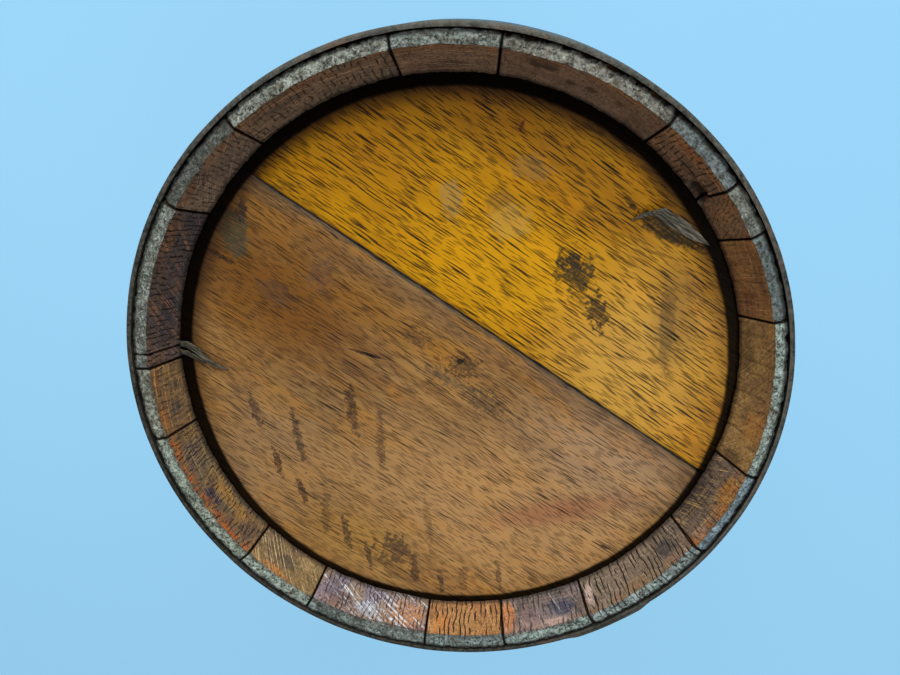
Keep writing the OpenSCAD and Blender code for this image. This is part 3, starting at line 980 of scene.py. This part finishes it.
# Each stave end has a look of its own. Colours are sRGB codes, and shares run from 0 to 1.
# main, alt, dark, light, chime: the bevel's two woods, its dark and light marks, its upper edge
# flat, flat_dark, flat_light, dull: the flat's greys, and how much of it is dull
# flat_in, lip: radii where the flat and the bevel end.  ragged: how broken the outer edge is, in mm
# lines, slant, line_w, bars: scratches.  kerf, pitch, skew, kerf_len, flat_kerf: saw kerfs
# warm, warm_to, bead: orange wood under the flat.  patches: place and half sizes (share of the half
# width, mm down), strength and colour of a stain.  cracks and chips are cut in the mesh
PLAIN = dict(
    light="b08c62", chime="8d5730", flat="7b7d72", flat_dark="4b4b42", flat_light="a9aa9c",
    blotch=0.6, warm=0.5, slant=8.0, lines=0.5, kerf=0.4, pitch=2.1, skew=0.0, speck=0.5, rough=0.5,
    dull=0.5, ragged=1.2, flat_in=119.6, lip=112.9, bars=0.2, mottle=0.6, bead=7.0, warm_to=7.0,
    coat=0.03, patches=(), kerf_len=7.0, line_w=0.36, flat_kerf=0.0, cracks=(), chips=())


def look(main, alt, dark, **own):
    return dict(PLAIN, main=main, alt=alt, dark=dark, **own)


# The flats of stave_07 to stave_13, round the -Y side, are given paler greys than the rest: partly painted
# light, that side of the rim painted brighter
STAVES = {
    "bung_stave": look(
        "8c7462", "7e6656", "4a3a30", slant=4.0, lines=0.5, kerf=0.1, ragged=2.8, flat="86837a",
        flat_in=119.9, warm=0.4, speck=0.8, bars=0.4,
        patches=[((0.5, 3.5), (0.24, 4.0), 0.9, "2b2b30"), ((-0.1, 8.0), (0.1, 2.0), 0.7, "33261f"),
        ((0.15, 9.0), (0.08, 1.6), 0.7, "33261f"), ((-0.45, 7.0), (0.06, 1.4), 0.7, "33261f"),
        ((-0.35, 0.8), (0.4, 1.6), 0.6, "b0743f")]),
    "stave_02": look(
        "7e6455", "8b7058", "3a2c24", light="c0a07c", slant=-8.0, lines=0.85, kerf=0.1, ragged=0.7,
        flat="7e8680", flat_light="b0b8ac", dull=0.3, flat_in=120.0, bars=0.8,
        patches=[((0.1, 11.0), (0.7, 3.0), 0.55, "3c322c")]),
    "stave_03": look(
        "836f5d", "706252", "322a26", light="c09a78", slant=-5.0, lines=0.5, kerf=0.75, pitch=2.6,
        kerf_len=2.0, ragged=1.6, flat="868a80", flat_light="c4c8ba", dull=0.3, flat_in=119.8, bars=0.75,
        chips=[dict(turn=99.9, r=115.0, depth=11.0, size=(5.0, 5.0), deep=1.1)],
        patches=[((0.4, 4.0), (0.5, 4.0), 0.5, "43413c")]),
    "stave_04": look(
        "776658", "84705c", "38302a", light="b89678", slant=-28.0, lines=0.6, kerf=0.75, pitch=2.2,
        kerf_len=2.2, ragged=0.9, flat="565a54", flat_dark="3c3c36", flat_light="84867a", flat_in=119.5,
        lip=112.8, bars=0.4,
        patches=[((0.3, 4.0), (0.4, 4.0), 0.6, "2f3136")]),
    "stave_05": look(
        "4e4a4c", "5e4e44", "20242c", light="b07c58", slant=-38.0, lines=0.85, kerf=0.95, pitch=2.3,
        ragged=0.8, flat="767c74", flat_light="bcc2b6", dull=0.35, flat_in=119.0, warm=0.2, blotch=0.8,
        kerf_len=4.0,
        cracks=[dict(turn=176.2, wide=1.3, deep=3.2)],
        chips=[dict(turn=151.5, r=122.6, depth=0.0, size=(3.2, 2.4), deep=0.7)],
        patches=[((-0.7, 3.0), (0.3, 4.0), 0.6, "745440"), ((0.4, 9.0), (0.5, 5.0), 0.5, "2e2c38")]),
    "stave_06": look(
        "8c6c46", "7c6044", "36322f", light="cf9f5c", slant=80.0, lines=0.4, kerf=0.6, pitch=2.4,
        kerf_len=2.4, ragged=0.9, flat="8a8b7c", flat_light="c4c8b4", flat_in=118.6, speck=0.8, bars=0.85,
        patches=[((0.5, 1.8), (0.4, 2.2), 0.7, "b26a2c"), ((0.3, 8.5), (0.3, 3.0), 0.65, "383844"),
        ((-0.4, 10.0), (0.3, 3.0), 0.5, "4a4038")]),
    "stave_07": look(
        "80603c", "6c5c48", "2a282c", light="c8a05c", chime="b65a24", slant=64.0, lines=0.45, kerf=0.85,
        pitch=2.0, kerf_len=2.4, ragged=0.8, flat="9ca798", flat_light="c8d4c2", flat_in=118.2, warm=1.0,
        blotch=0.7, bead=2.4, warm_to=5.5, bars=0.35,
        patches=[((-0.6, 6.5), (0.28, 4.0), 0.8, "4c4448"), ((0.05, 5.8), (0.2, 3.4), 0.85, "262a44"),
        ((0.25, 11.0), (0.6, 3.6), 0.7, "a87a38"), ((-0.1, 10.0), (0.12, 3.0), 0.6, "3a3238"),
        ((0.8, 8.0), (0.2, 5.0), 0.6, "4a3c38")]),
    "stave_08": look(
        "8a6e44", "745c42", "3c3024", light="dcc08c", slant=44.0, lines=0.95, kerf=0.35, pitch=2.4,
        skew=0.9, ragged=0.6, flat="a4b2a4", flat_light="ced8ce", flat_in=117.8, speck=0.4,
        patches=[((-0.3, 1.8), (0.55, 1.9), 0.85, "c47c34"), ((0.0, 8.0), (0.3, 3.4), 0.7, "3a3836"),
        ((-0.5, 9.0), (0.4, 5.0), 0.5, "54443a"), ((0.5, 12.0), (0.4, 3.0), 0.4, "b89a68")]),
    # stave_09: its blue-white scratch colour and the pale blue-grey patch near its middle are partly
    # painted highlight, a bluish sheen on real scratches
    "stave_09": look(
        "9c8068", "80707a", "3a3036", light="dfe3ea", slant=32.0, lines=1.0, kerf=0.85, pitch=1.9,
        kerf_len=3.0, ragged=0.5, flat="7f8b86", flat_light="b8c6c2", flat_in=117.6, rough=0.3, coat=0.25,
        lip=112.8, line_w=0.8,
        cracks=[dict(turn=250.5, wide=0.6, deep=1.6)],
        patches=[((0.65, 7.0), (0.4, 8.0), 0.8, "c08452"), ((-0.55, 5.0), (0.35, 5.0), 0.6, "54404a"),
        ((-0.05, 5.0), (0.25, 4.5), 0.6, "b0b6c4")]),
    "stave_10": look(
        "b4804a", "a87242", "3a2a1c", light="e0b078", slant=72.0, lines=0.6, kerf=1.0, pitch=2.3,
        ragged=0.5, flat="82918e", flat_light="b8cac8", flat_in=117.6, blotch=0.35, flat_kerf=0.5,
        patches=[((-0.6, 6.0), (0.3, 7.0), 0.5, "cc7c34")]),
    "stave_11": look(
        "7c6c66", "68584e", "2c2c34", light="d0b8b0", chime="b08a78", slant=66.0, lines=0.6, kerf=0.8,
        pitch=2.4, ragged=0.6, flat="94a69e", flat_light="c8d8d0", flat_in=118.5, warm=0.5, flat_kerf=0.5,
        patches=[((-0.88, 8.0), (0.25, 9.0), 0.95, "c47a3c"), ((-0.35, 6.0), (0.3, 6.0), 0.6, "8c6c6a"),
        ((0.45, 7.5), (0.45, 4.5), 0.8, "363c52"), ((0.2, 2.0), (0.5, 2.0), 0.7, "caa698")]),
    "stave_12": look(
        "7e6a56", "86705c", "34302c", light="c8b094", slant=78.0, lines=0.5, kerf=1.0, pitch=2.2,
        ragged=0.7, flat="9bada9", flat_light="ced8d6", flat_in=119.4, lip=112.8, warm=0.4, flat_kerf=0.9,
        patches=[((-0.88, 8.0), (0.12, 6.5), 0.8, "cbae9e"), ((0.6, 7.5), (0.25, 4.5), 0.75, "34333c"),
        ((-0.1, 3.0), (0.5, 3.5), 0.5, "937650"), ((0.85, 12.0), (0.2, 4.0), 0.6, "3a3432")]),
    "stave_13": look(
        "746052", "66564c", "302825", light="c8a468", chime="b8702e", slant=60.0, lines=0.7, kerf=0.6,
        pitch=2.4, kerf_len=3.0, ragged=0.9, flat="8499a0", flat_dark="56646a", flat_light="b4cad2",
        flat_in=120.6, warm=0.7, bars=0.4,
        patches=[((0.4, 3.5), (0.5, 4.2), 0.85, "b4762e"), ((-0.2, 12.5), (0.9, 4.5), 0.6, "3e302a"),
        ((-0.7, 3.0), (0.25, 2.6), 0.5, "b8aca0")]),
    "stave_14": look(
        "a8834e", "8e6c46", "46382a", light="d4ac74", slant=40.0, lines=0.65, kerf=0.35, pitch=5.0,
        ragged=1.0, flat="8e9c94", flat_light="c4d2c8", dull=0.3, flat_in=120.2, blotch=0.45, rough=0.42,
        patches=[((0.5, 12.0), (0.4, 4.0), 0.6, "5a4430"), ((-0.4, 5.0), (0.3, 5.0), 0.5, "bc7a34"),
        ((-0.9, 9.0), (0.1, 6.0), 0.6, "3a2c24")]),
    "stave_15": look(
        "a07446", "8a603e", "42342a", light="c89460", slant=84.0, lines=0.5, kerf=0.3, pitch=4.0,
        ragged=1.2, flat="667274", flat_light="86928e", dull=0.3, flat_in=120.0, blotch=0.5, bars=0.4,
        patches=[((0.2, 3.0), (0.5, 3.0), 0.5, "5a4436"), ((-0.5, 10.0), (0.3, 4.0), 0.5, "6a3c24")]),
    "stave_16": look(
        "96704e", "80644e", "3c332c", light="c09672", slant=-42.0, lines=0.7, kerf=0.6, pitch=2.0,
        skew=0.8, kerf_len=2.2, ragged=1.4, flat="72756c", flat_light="a4a89e", flat_in=119.8,
        chips=[dict(turn=38.2, r=113.8, depth=13.8, size=(3.4, 4.6), deep=2.6)]),
    "stave_17": look(
        "927054", "7c6656", "322d2c", light="cf9a6c", slant=-4.0, lines=0.75, kerf=0.85, pitch=2.2,
        kerf_len=3.0, ragged=1.8, flat="676e6e", flat_light="929e9e", flat_in=119.8, bars=0.95,
        chips=[dict(turn=39.5, r=113.6, depth=13.2, size=(6.0, 5.2), deep=3.0)],
        patches=[((-0.15, 9.5), (0.4, 4.5), 0.8, "2c2a32"), ((0.2, 3.0), (0.6, 3.0), 0.6, "b4703f")]),
}

def drips(*rows):
    """Marks for dark drips: centre, half width, half length, turn, strength."""
    return [(centre, (wide, long), turn, 0.7, 2.2, share, "3c2820")
            for centre, wide, long, turn, share in rows]


# Tints and marks lie at a place on the head in mm from its middle, with half sizes and a turn.
# Tints: centre, half sizes, turn, strength, colour
# Marks: centre, half sizes, turn, raggedness, grain size, strength, colour and, where the wood is
# raised or cut, the height in mm
GOLD_BOARD = dict(
    main="c68a08", deep="a06806", bright="dca214", stain="7e5012", rings=0.4, hair=0.55, cloud=0.3,
    sway=2.5, pore=(22.0, 0.8, 1.0), open=0.44, short=0.85, ink=1.0, seam=TOP_SEAM, joint_w=0.8, shadow_reach=2.2,
    rough=0.42, coat=0.03, gloss=0.15, shade=0.9, glow=0.35, amber="dc8c0c", streak=0.5,
    tints=[
        # Partly painted light: the darker tints towards the top and upper left are painted shade under the
        # upper rim, and the pale, greyer tint on the right is a painted sheen
        ((12.0, 48.0), (75.0, 42.0), -32.0, 0.6, "e6a604"),
        ((72.0, 5.0), (50.0, 62.0), -20.0, 0.6, "d6a54a"),
        ((-30.0, 85.0), (60.0, 30.0), -30.0, 0.4, "a5690a"),
        ((10.0, 102.0), (60.0, 22.0), -8.0, 0.7, "805006"),
        ((86.0, 26.0), (13.0, 32.0), 4.0, 0.5, "7a5a2c"),
        ((55.0, 80.0), (40.0, 22.0), -40.0, 0.3, "a4700f")],
    marks=[
        ((-0.5, 68.0), (4.5, 9.0), 10.0, 0.5, 3.0, 0.6, "a08450"),
        ((29.0, 80.0), (9.0, 5.5), -10.0, 0.5, 4.0, 0.45, "8f6f45"),
        ((22.0, 60.0), (9.0, 8.0), -20.0, 0.5, 4.0, 0.45, "b09252"),
        ((17.0, 68.0), (7.0, 4.0), 20.0, 0.5, 4.0, 0.5, "6f5230"),
        ((47.0, 42.0), (7.5, 10.0), 24.0, 0.9, 3.2, 0.95, "2f2c24", 0.35),
        ((57.0, 26.0), (4.5, 8.0), 20.0, 1.0, 2.4, 0.9, "2c2922", 0.3),
        ((84.0, 21.0), (3.4, 24.0), 2.0, 0.5, 4.0, 0.6, "5b4423"),
        ((93.0, 36.0), (3.0, 7.0), 30.0, 0.9, 2.4, 0.4, "6f4a2e"),
        ((75.0, 80.0), (9.0, 5.0), -40.0, 0.6, 3.0, 0.4, "6b4a14"),
        ((25.0, 94.9), (0.8, 2.6), -20.0, 0.3, 1.5, 0.9, "5a1a14"),
        # The dark hollow under the lifted flake: a real hollow, darkened further as painted shadow of the
        # flake
        ((82.0, 57.5), (17.0, 4.6), -25.0, 0.45, 3.0, 0.95, "26241c", -0.3),
        ((66.0, 68.0), (5.0, 1.4), -48.0, 0.4, 1.5, 0.9, "17130e", -0.2)])

TAN_BOARD = dict(
    main="a4743a", deep="84603a", bright="bc9054", stain="543620", rings=0.55, hair=0.85, cloud=0.45,
    sway=5.0, pore=(17.0, 0.6, 1.0), open=0.49, short=0.75, ink=0.95, seam=TOP_SEAM, joint_w=2.4, shadow_reach=2.2,
    rough=0.45, coat=0.03, gloss=0.25, shade=0.75, glow=0.6, amber="b47a2c", streak=0.85,
    tints=[
        # Partly painted light: the dark tint at the upper left is painted shade, and the pale tints towards
        # the bottom are painted light
        ((20.0, -65.0), (110.0, 52.0), -20.0, 0.6, "c4945e"),
        ((62.0, -38.0), (50.0, 26.0), -32.0, 0.35, "c09a76"),
        ((-80.0, -45.0), (45.0, 50.0), 20.0, 0.5, "a8845c"),
        ((-70.0, 30.0), (66.0, 42.0), -32.0, 0.9, "7c4c14"),
        ((-20.0, 18.0), (60.0, 14.0), -33.0, 0.5, "a26c1e"),
        ((46.0, -64.0), (46.0, 9.0), 14.0, 0.6, "96583a"),
        ((-40.0, -84.0), (40.0, 24.0), -20.0, 0.5, "b8883c")],
    marks=[
        ((-86.5, 55.0), (7.0, 12.5), 12.0, 0.3, 4.0, 0.9, "4e4a36", 0.1),
        ((-82.0, 63.0), (3.0, 5.5), -10.0, 0.7, 2.0, 0.85, "23252a"),
        ((-93.0, 45.0), (9.0, 1.2), -28.0, 0.5, 2.0, 0.85, "1a1815", -0.2),
        ((-35.0, 5.4), (9.2, 0.85), -15.5, 0.06, 1.5, 1.0, "0c0a09", -0.5),
        ((3.6, 3.3), (1.5, 1.5), 0.0, 0.2, 1.5, 1.0, "0c0a08", -0.9),
        ((4.0, 1.0), (7.0, 5.0), 0.0, 1.6, 1.6, 0.7, "2a231b"),
        ((-3.0, -4.0), (14.0, 3.0), -20.0, 1.0, 2.6, 0.55, "4b4334"),
        ((-70.0, 30.0), (10.0, 6.0), -30.0, 1.1, 2.2, 0.5, "4d3b30"),
        ((-52.0, 38.0), (6.0, 7.0), -20.0, 1.2, 2.0, 0.5, "5a4038"),
        ((-84.0, -22.0), (2.2, 9.0), 12.0, 0.9, 2.4, 0.8, "3c2a26"),
        ((-66.0, -34.0), (2.0, 14.0), 8.0, 0.9, 2.4, 0.8, "3c2a26"),
        ((-42.0, -20.0), (2.6, 12.0), 4.0, 0.9, 2.4, 0.88, "342420"),
        ((-30.0, -34.0), (2.0, 16.0), 2.0, 0.9, 2.4, 0.6, "3a2820"),
        ((-56.0, -70.0), (2.2, 12.0), -4.0, 0.9, 2.4, 0.55, "46301f"),
        ((-26.0, -88.0), (8.0, 8.0), 0.0, 1.2, 3.0, 0.85, "3c2c22"),
        ((-10.0, -72.0), (2.0, 16.0), 4.0, 0.9, 2.4, 0.45, "46301f"),
        ((6.0, -100.0), (2.4, 8.0), 0.0, 0.9, 2.4, 0.5, "3c2c22"),
        *drips(
            ((-76.0, -46.0), 1.8, 9.0, 10.0, 0.88), ((-66.0, -60.0), 1.8, 8.0, 12.0, 0.88),
            ((-47.0, -80.0), 2.0, 9.0, 8.0, 0.85), ((-37.0, -92.0), 1.6, 8.0, 10.0, 0.88),
            ((-16.0, -98.0), 2.4, 9.0, 4.0, 0.88), ((-4.0, -104.0), 1.6, 7.0, 6.0, 0.85),
            ((22.0, -98.0), 1.6, 8.0, 8.0, 0.7)),
        ((14.0, -14.0), (9.0, 5.0), -30.0, 1.3, 1.6, 0.6, "2c2420"),
        ((-14.0, 13.0), (7.0, 4.0), -30.0, 1.3, 1.6, 0.5, "2c2420"),
        ((-100.0, 0.0), (10.0, 4.0), -30.0, 0.8, 3.0, 0.5, "5a3a26")])


def lower_head(board, seam):
    """The same oak for the lower head, without the marks of the upper one."""
    return dict(board, seam=seam, tints=board["tints"][:1], marks=[], shadow_reach=1.0, shade=0.2)


# ------------------------------------------------------------------------------------------- pieces

hidden_oak = inner_oak("oak_inside", 1.0)
bung_turn = None
for number, (node, style) in enumerate(STAVES.items()):
    seed = number * 5.3 + 2.0
    bm, middle, half = stave_mesh(node, style, seed)
    materials = [
        outer_oak(f"oak_outside_{number + 1:02d}", middle, seed),
        flat_oak(f"oak_flat_{number + 1:02d}", middle, half, seed, style),
        bevel_oak(f"oak_bevel_{number + 1:02d}", middle, half, seed, style),
        hidden_oak,
    ]
    piece = new_piece(f"{node}_oak", bm, materials, slot="oak_stave")
    if node == "bung_stave":
        bung_turn = middle
        cut_bung_hole(piece, middle, materials)
    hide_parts(node)

# Node, place of the joint, side of it that the board is on, whether the board is in the upper head,
# look, pitch of the mesh, slot, and dents as (x, y, radius, depth)
FINE, COARSE = 1.3, 2.2
WORM_HOLE = (3.6, 3.3, 2.2, 0.9)
boards = (
    ("top_head_narrow_board", TOP_SEAM, 1, True, GOLD_BOARD, FINE, "oak_head_gold", ()),
    ("top_head_wide_board", TOP_SEAM, -1, True, TAN_BOARD, FINE, "oak_head_tan", (WORM_HOLE,)),
    ("bottom_head_narrow_board", BOTTOM_SEAM, -1, False, lower_head(GOLD_BOARD, BOTTOM_SEAM), COARSE,
     "oak_head_gold", ()),
    ("bottom_head_wide_board", BOTTOM_SEAM, 1, False, lower_head(TAN_BOARD, BOTTOM_SEAM), COARSE,
     "oak_head_tan", ()),
)
for number, (node, seam, side, top, board, pitch, slot, dents) in enumerate(boards):
    paint = head_oak(f"{node}_oak", 3.0 + number * 4.7, board)
    piece = head_board(f"{node}_oak", seam, side, top, [paint], pitch, number * 3.0, dents)
    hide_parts(node)

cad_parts["head_dowels"].data.materials[0] = inner_oak("oak_dowels", 9.0)

# Lower edge, width and azimuth of the lap of each hoop
BANDS = {
    "top_chime_hoop": (BARREL_H - 28.5, 28.0, 303.0),
    "top_quarter_hoop": (BARREL_H - 84.0, 26.0, 225.0),
    "top_bilge_hoop": (MID_Z + 36.0, 26.0, 135.0),
    "bottom_bilge_hoop": (MID_Z - 62.0, 26.0, 225.0),
    "bottom_quarter_hoop": (58.0, 26.0, 135.0),
    "bottom_chime_hoop": (0.5, 28.0, 315.0),
}
for number, (node, (z0, width, lap)) in enumerate(BANDS.items()):
    bm = hoop_mesh(z0, width, lap, number * 2.7)
    piece = new_piece(f"{node}_iron", bm, [hoop_iron(f"{node}_iron", number * 6.1)], slot="iron_hoop")
    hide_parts(node)
rivets = new_piece("hoop_rivets_iron", rivet_bmesh(BANDS.values()), [hoop_iron("rivet_iron", 50.0)],
                   slot="iron_rivet")
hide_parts("hoop_rivets")

bung = new_piece("bung_oak", bung_bmesh(bung_turn), [bung_oak("bung_oak", bung_turn, 4.0)], "bung",
                 "oak_bung", 45.0)
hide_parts("bung")

# Torn wood on the upper head: name, slot, thickness, seed, then (x, y), width and lift along it
TORN = (
    ("head_flake", "oak_head_gold", 0.35, 3.0, (
        ((66.5, 61.5), 0.4, 0.2), ((70.0, 63.4), 1.6, 1.5), ((74.0, 64.8), 2.2, 2.4),
        ((77.5, 64.4), 4.6, 2.0), ((81.0, 62.0), 4.0, 1.3), ((86.0, 59.6), 4.8, 1.0),
        ((91.0, 56.4), 3.0, 0.5), ((96.0, 53.0), 0.6, 0.1))),
    ("head_splinter_1", "oak_head_tan", 0.6, 7.0, (
        ((-113.0, 8.0), 2.4, 1.6), ((-109.5, 7.6), 4.2, 2.4), ((-106.0, 4.6), 3.2, 1.5),
        ((-102.5, 1.0), 3.0, 1.4), ((-99.0, -1.6), 2.0, 0.8), ((-93.5, -3.4), 0.4, 0.2))),
    ("head_splinter_2", "oak_head_tan", 0.6, 8.0, (
        ((-113.5, 4.6), 2.2, 1.6), ((-110.0, 4.0), 3.0, 2.4), ((-106.5, 1.4), 2.0, 1.5),
        ((-103.0, -0.8), 0.4, 1.4))),
)
torn_oak = splinter_oak("oak_torn", 2.0)
for name, slot, thickness, seed, spine in TORN:
    new_piece(name, sheet_bmesh(spine, thickness, seed), [torn_oak], slot=slot)

# -------------------------------------------------------------------------------------------- stage

BACKDROP = "a0dafc"
BACKDROP_DARK = "9cd6fa"
FLOOR_HALF = 6.0
FLOOR_GLOW = 0.7      # share of the paper's brightness that comes through it from behind
SKY_STRENGTH = 0.14
# Name: place, target, width and length, power, colour. Metres and watts
LIGHTS = {
    "ceiling": ((0.0, 1.15, 1.0), (0.0, 0.0, 0.33), (2.6, 1.3), 36.0, (0.93, 0.98, 1.0)),
    "front": ((0.42, -0.42, 1.15), (0.03, -0.03, 0.32), (0.5, 0.5), 3.2, (0.95, 0.98, 1.0)),
}
# The photo's own viewing angle, in metres, and a 26 mm lens on a 36 mm wide sensor
EYE = Vector((0.0190, 0.0932, 0.5707))
AIM = Vector((0.0008, 0.0193, 0.3400))
PHOTO_UP = Vector((-0.0063, 1.0, 0.0))
LENS = 26.0
SENSOR = 36.0


def floor():
    """Pale paper, partly lit from behind so that it has the same tone all over."""
    bm = bmesh.new()
    bmesh.ops.create_grid(bm, x_segments=8, y_segments=8, size=FLOOR_HALF)
    mesh = bpy.data.meshes.new("floor")
    bm.to_mesh(mesh)
    bm.free()
    ground = bpy.data.objects.new("floor", mesh)
    bpy.context.scene.collection.objects.link(ground)
    p = Paint("floor_paper")
    tone = p.grain(p.place(), 900.0, 2.0, 0.5, 1.0)
    colour = p.mix(p.step(tone, 0.2, 0.8), BACKDROP, BACKDROP_DARK)
    p.feed(p.bsdf.inputs["Emission Color"], colour)
    p.bsdf.inputs["Emission Strength"].default_value = FLOOR_GLOW
    dim = p.mix(1.0 - FLOOR_GLOW, "000000", colour)
    mesh.materials.append(p.finish(dim, 0.9, p.times(tone, 0.01), gloss=0.1))


def area_light(name, place, target, size, power, colour):
    lamp = bpy.data.lights.new(name, "AREA")
    lamp.shape = "RECTANGLE"
    lamp.size, lamp.size_y = size
    lamp.energy = power
    lamp.color = colour
    light = bpy.data.objects.new(name, lamp)
    bpy.context.scene.collection.objects.link(light)
    light.location = place
    light.rotation_mode = "QUATERNION"
    light.rotation_quaternion = (Vector(target) - Vector(place)).to_track_quat("-Z", "Y")


def sky(strength):
    """Even white light all round; the camera sees it in the floor's colour."""
    world = bpy.data.worlds.new("studio")
    world.use_nodes = True
    bpy.context.scene.world = world
    nodes, links = world.node_tree.nodes, world.node_tree.links
    light = nodes["Background"]
    light.inputs["Color"].default_value = (1.0, 1.0, 1.0, 1.0)
    light.inputs["Strength"].default_value = strength
    seen = nodes.new("ShaderNodeBackground")
    seen.inputs["Color"].default_value = rgb(BACKDROP)
    path = nodes.new("ShaderNodeLightPath")
    mixer = nodes.new("ShaderNodeMixShader")
    links.new(path.outputs["Is Camera Ray"], mixer.inputs[0])
    links.new(light.outputs[0], mixer.inputs[1])
    links.new(seen.outputs[0], mixer.inputs[2])
    links.new(mixer.outputs[0], nodes["World Output"].inputs["Surface"])


def photo_camera():
    lens = bpy.data.cameras.new("camera")
    lens.sensor_width = SENSOR
    lens.lens = LENS
    lens.clip_start = 0.01
    camera = bpy.data.objects.new("camera", lens)
    bpy.context.scene.collection.objects.link(camera)
    bpy.context.scene.camera = camera
    forward = (AIM - EYE).normalized()
    right = forward.cross(PHOTO_UP).normalized()
    turn = Matrix((right, right.cross(forward), -forward)).transposed()
    camera.matrix_world = Matrix.Translation(EYE) @ turn.to_4x4()


floor()
sky(SKY_STRENGTH)
for name, settings in LIGHTS.items():
    area_light(name, *settings)
photo_camera()

bpy.context.scene.view_settings.view_transform = "Standard"
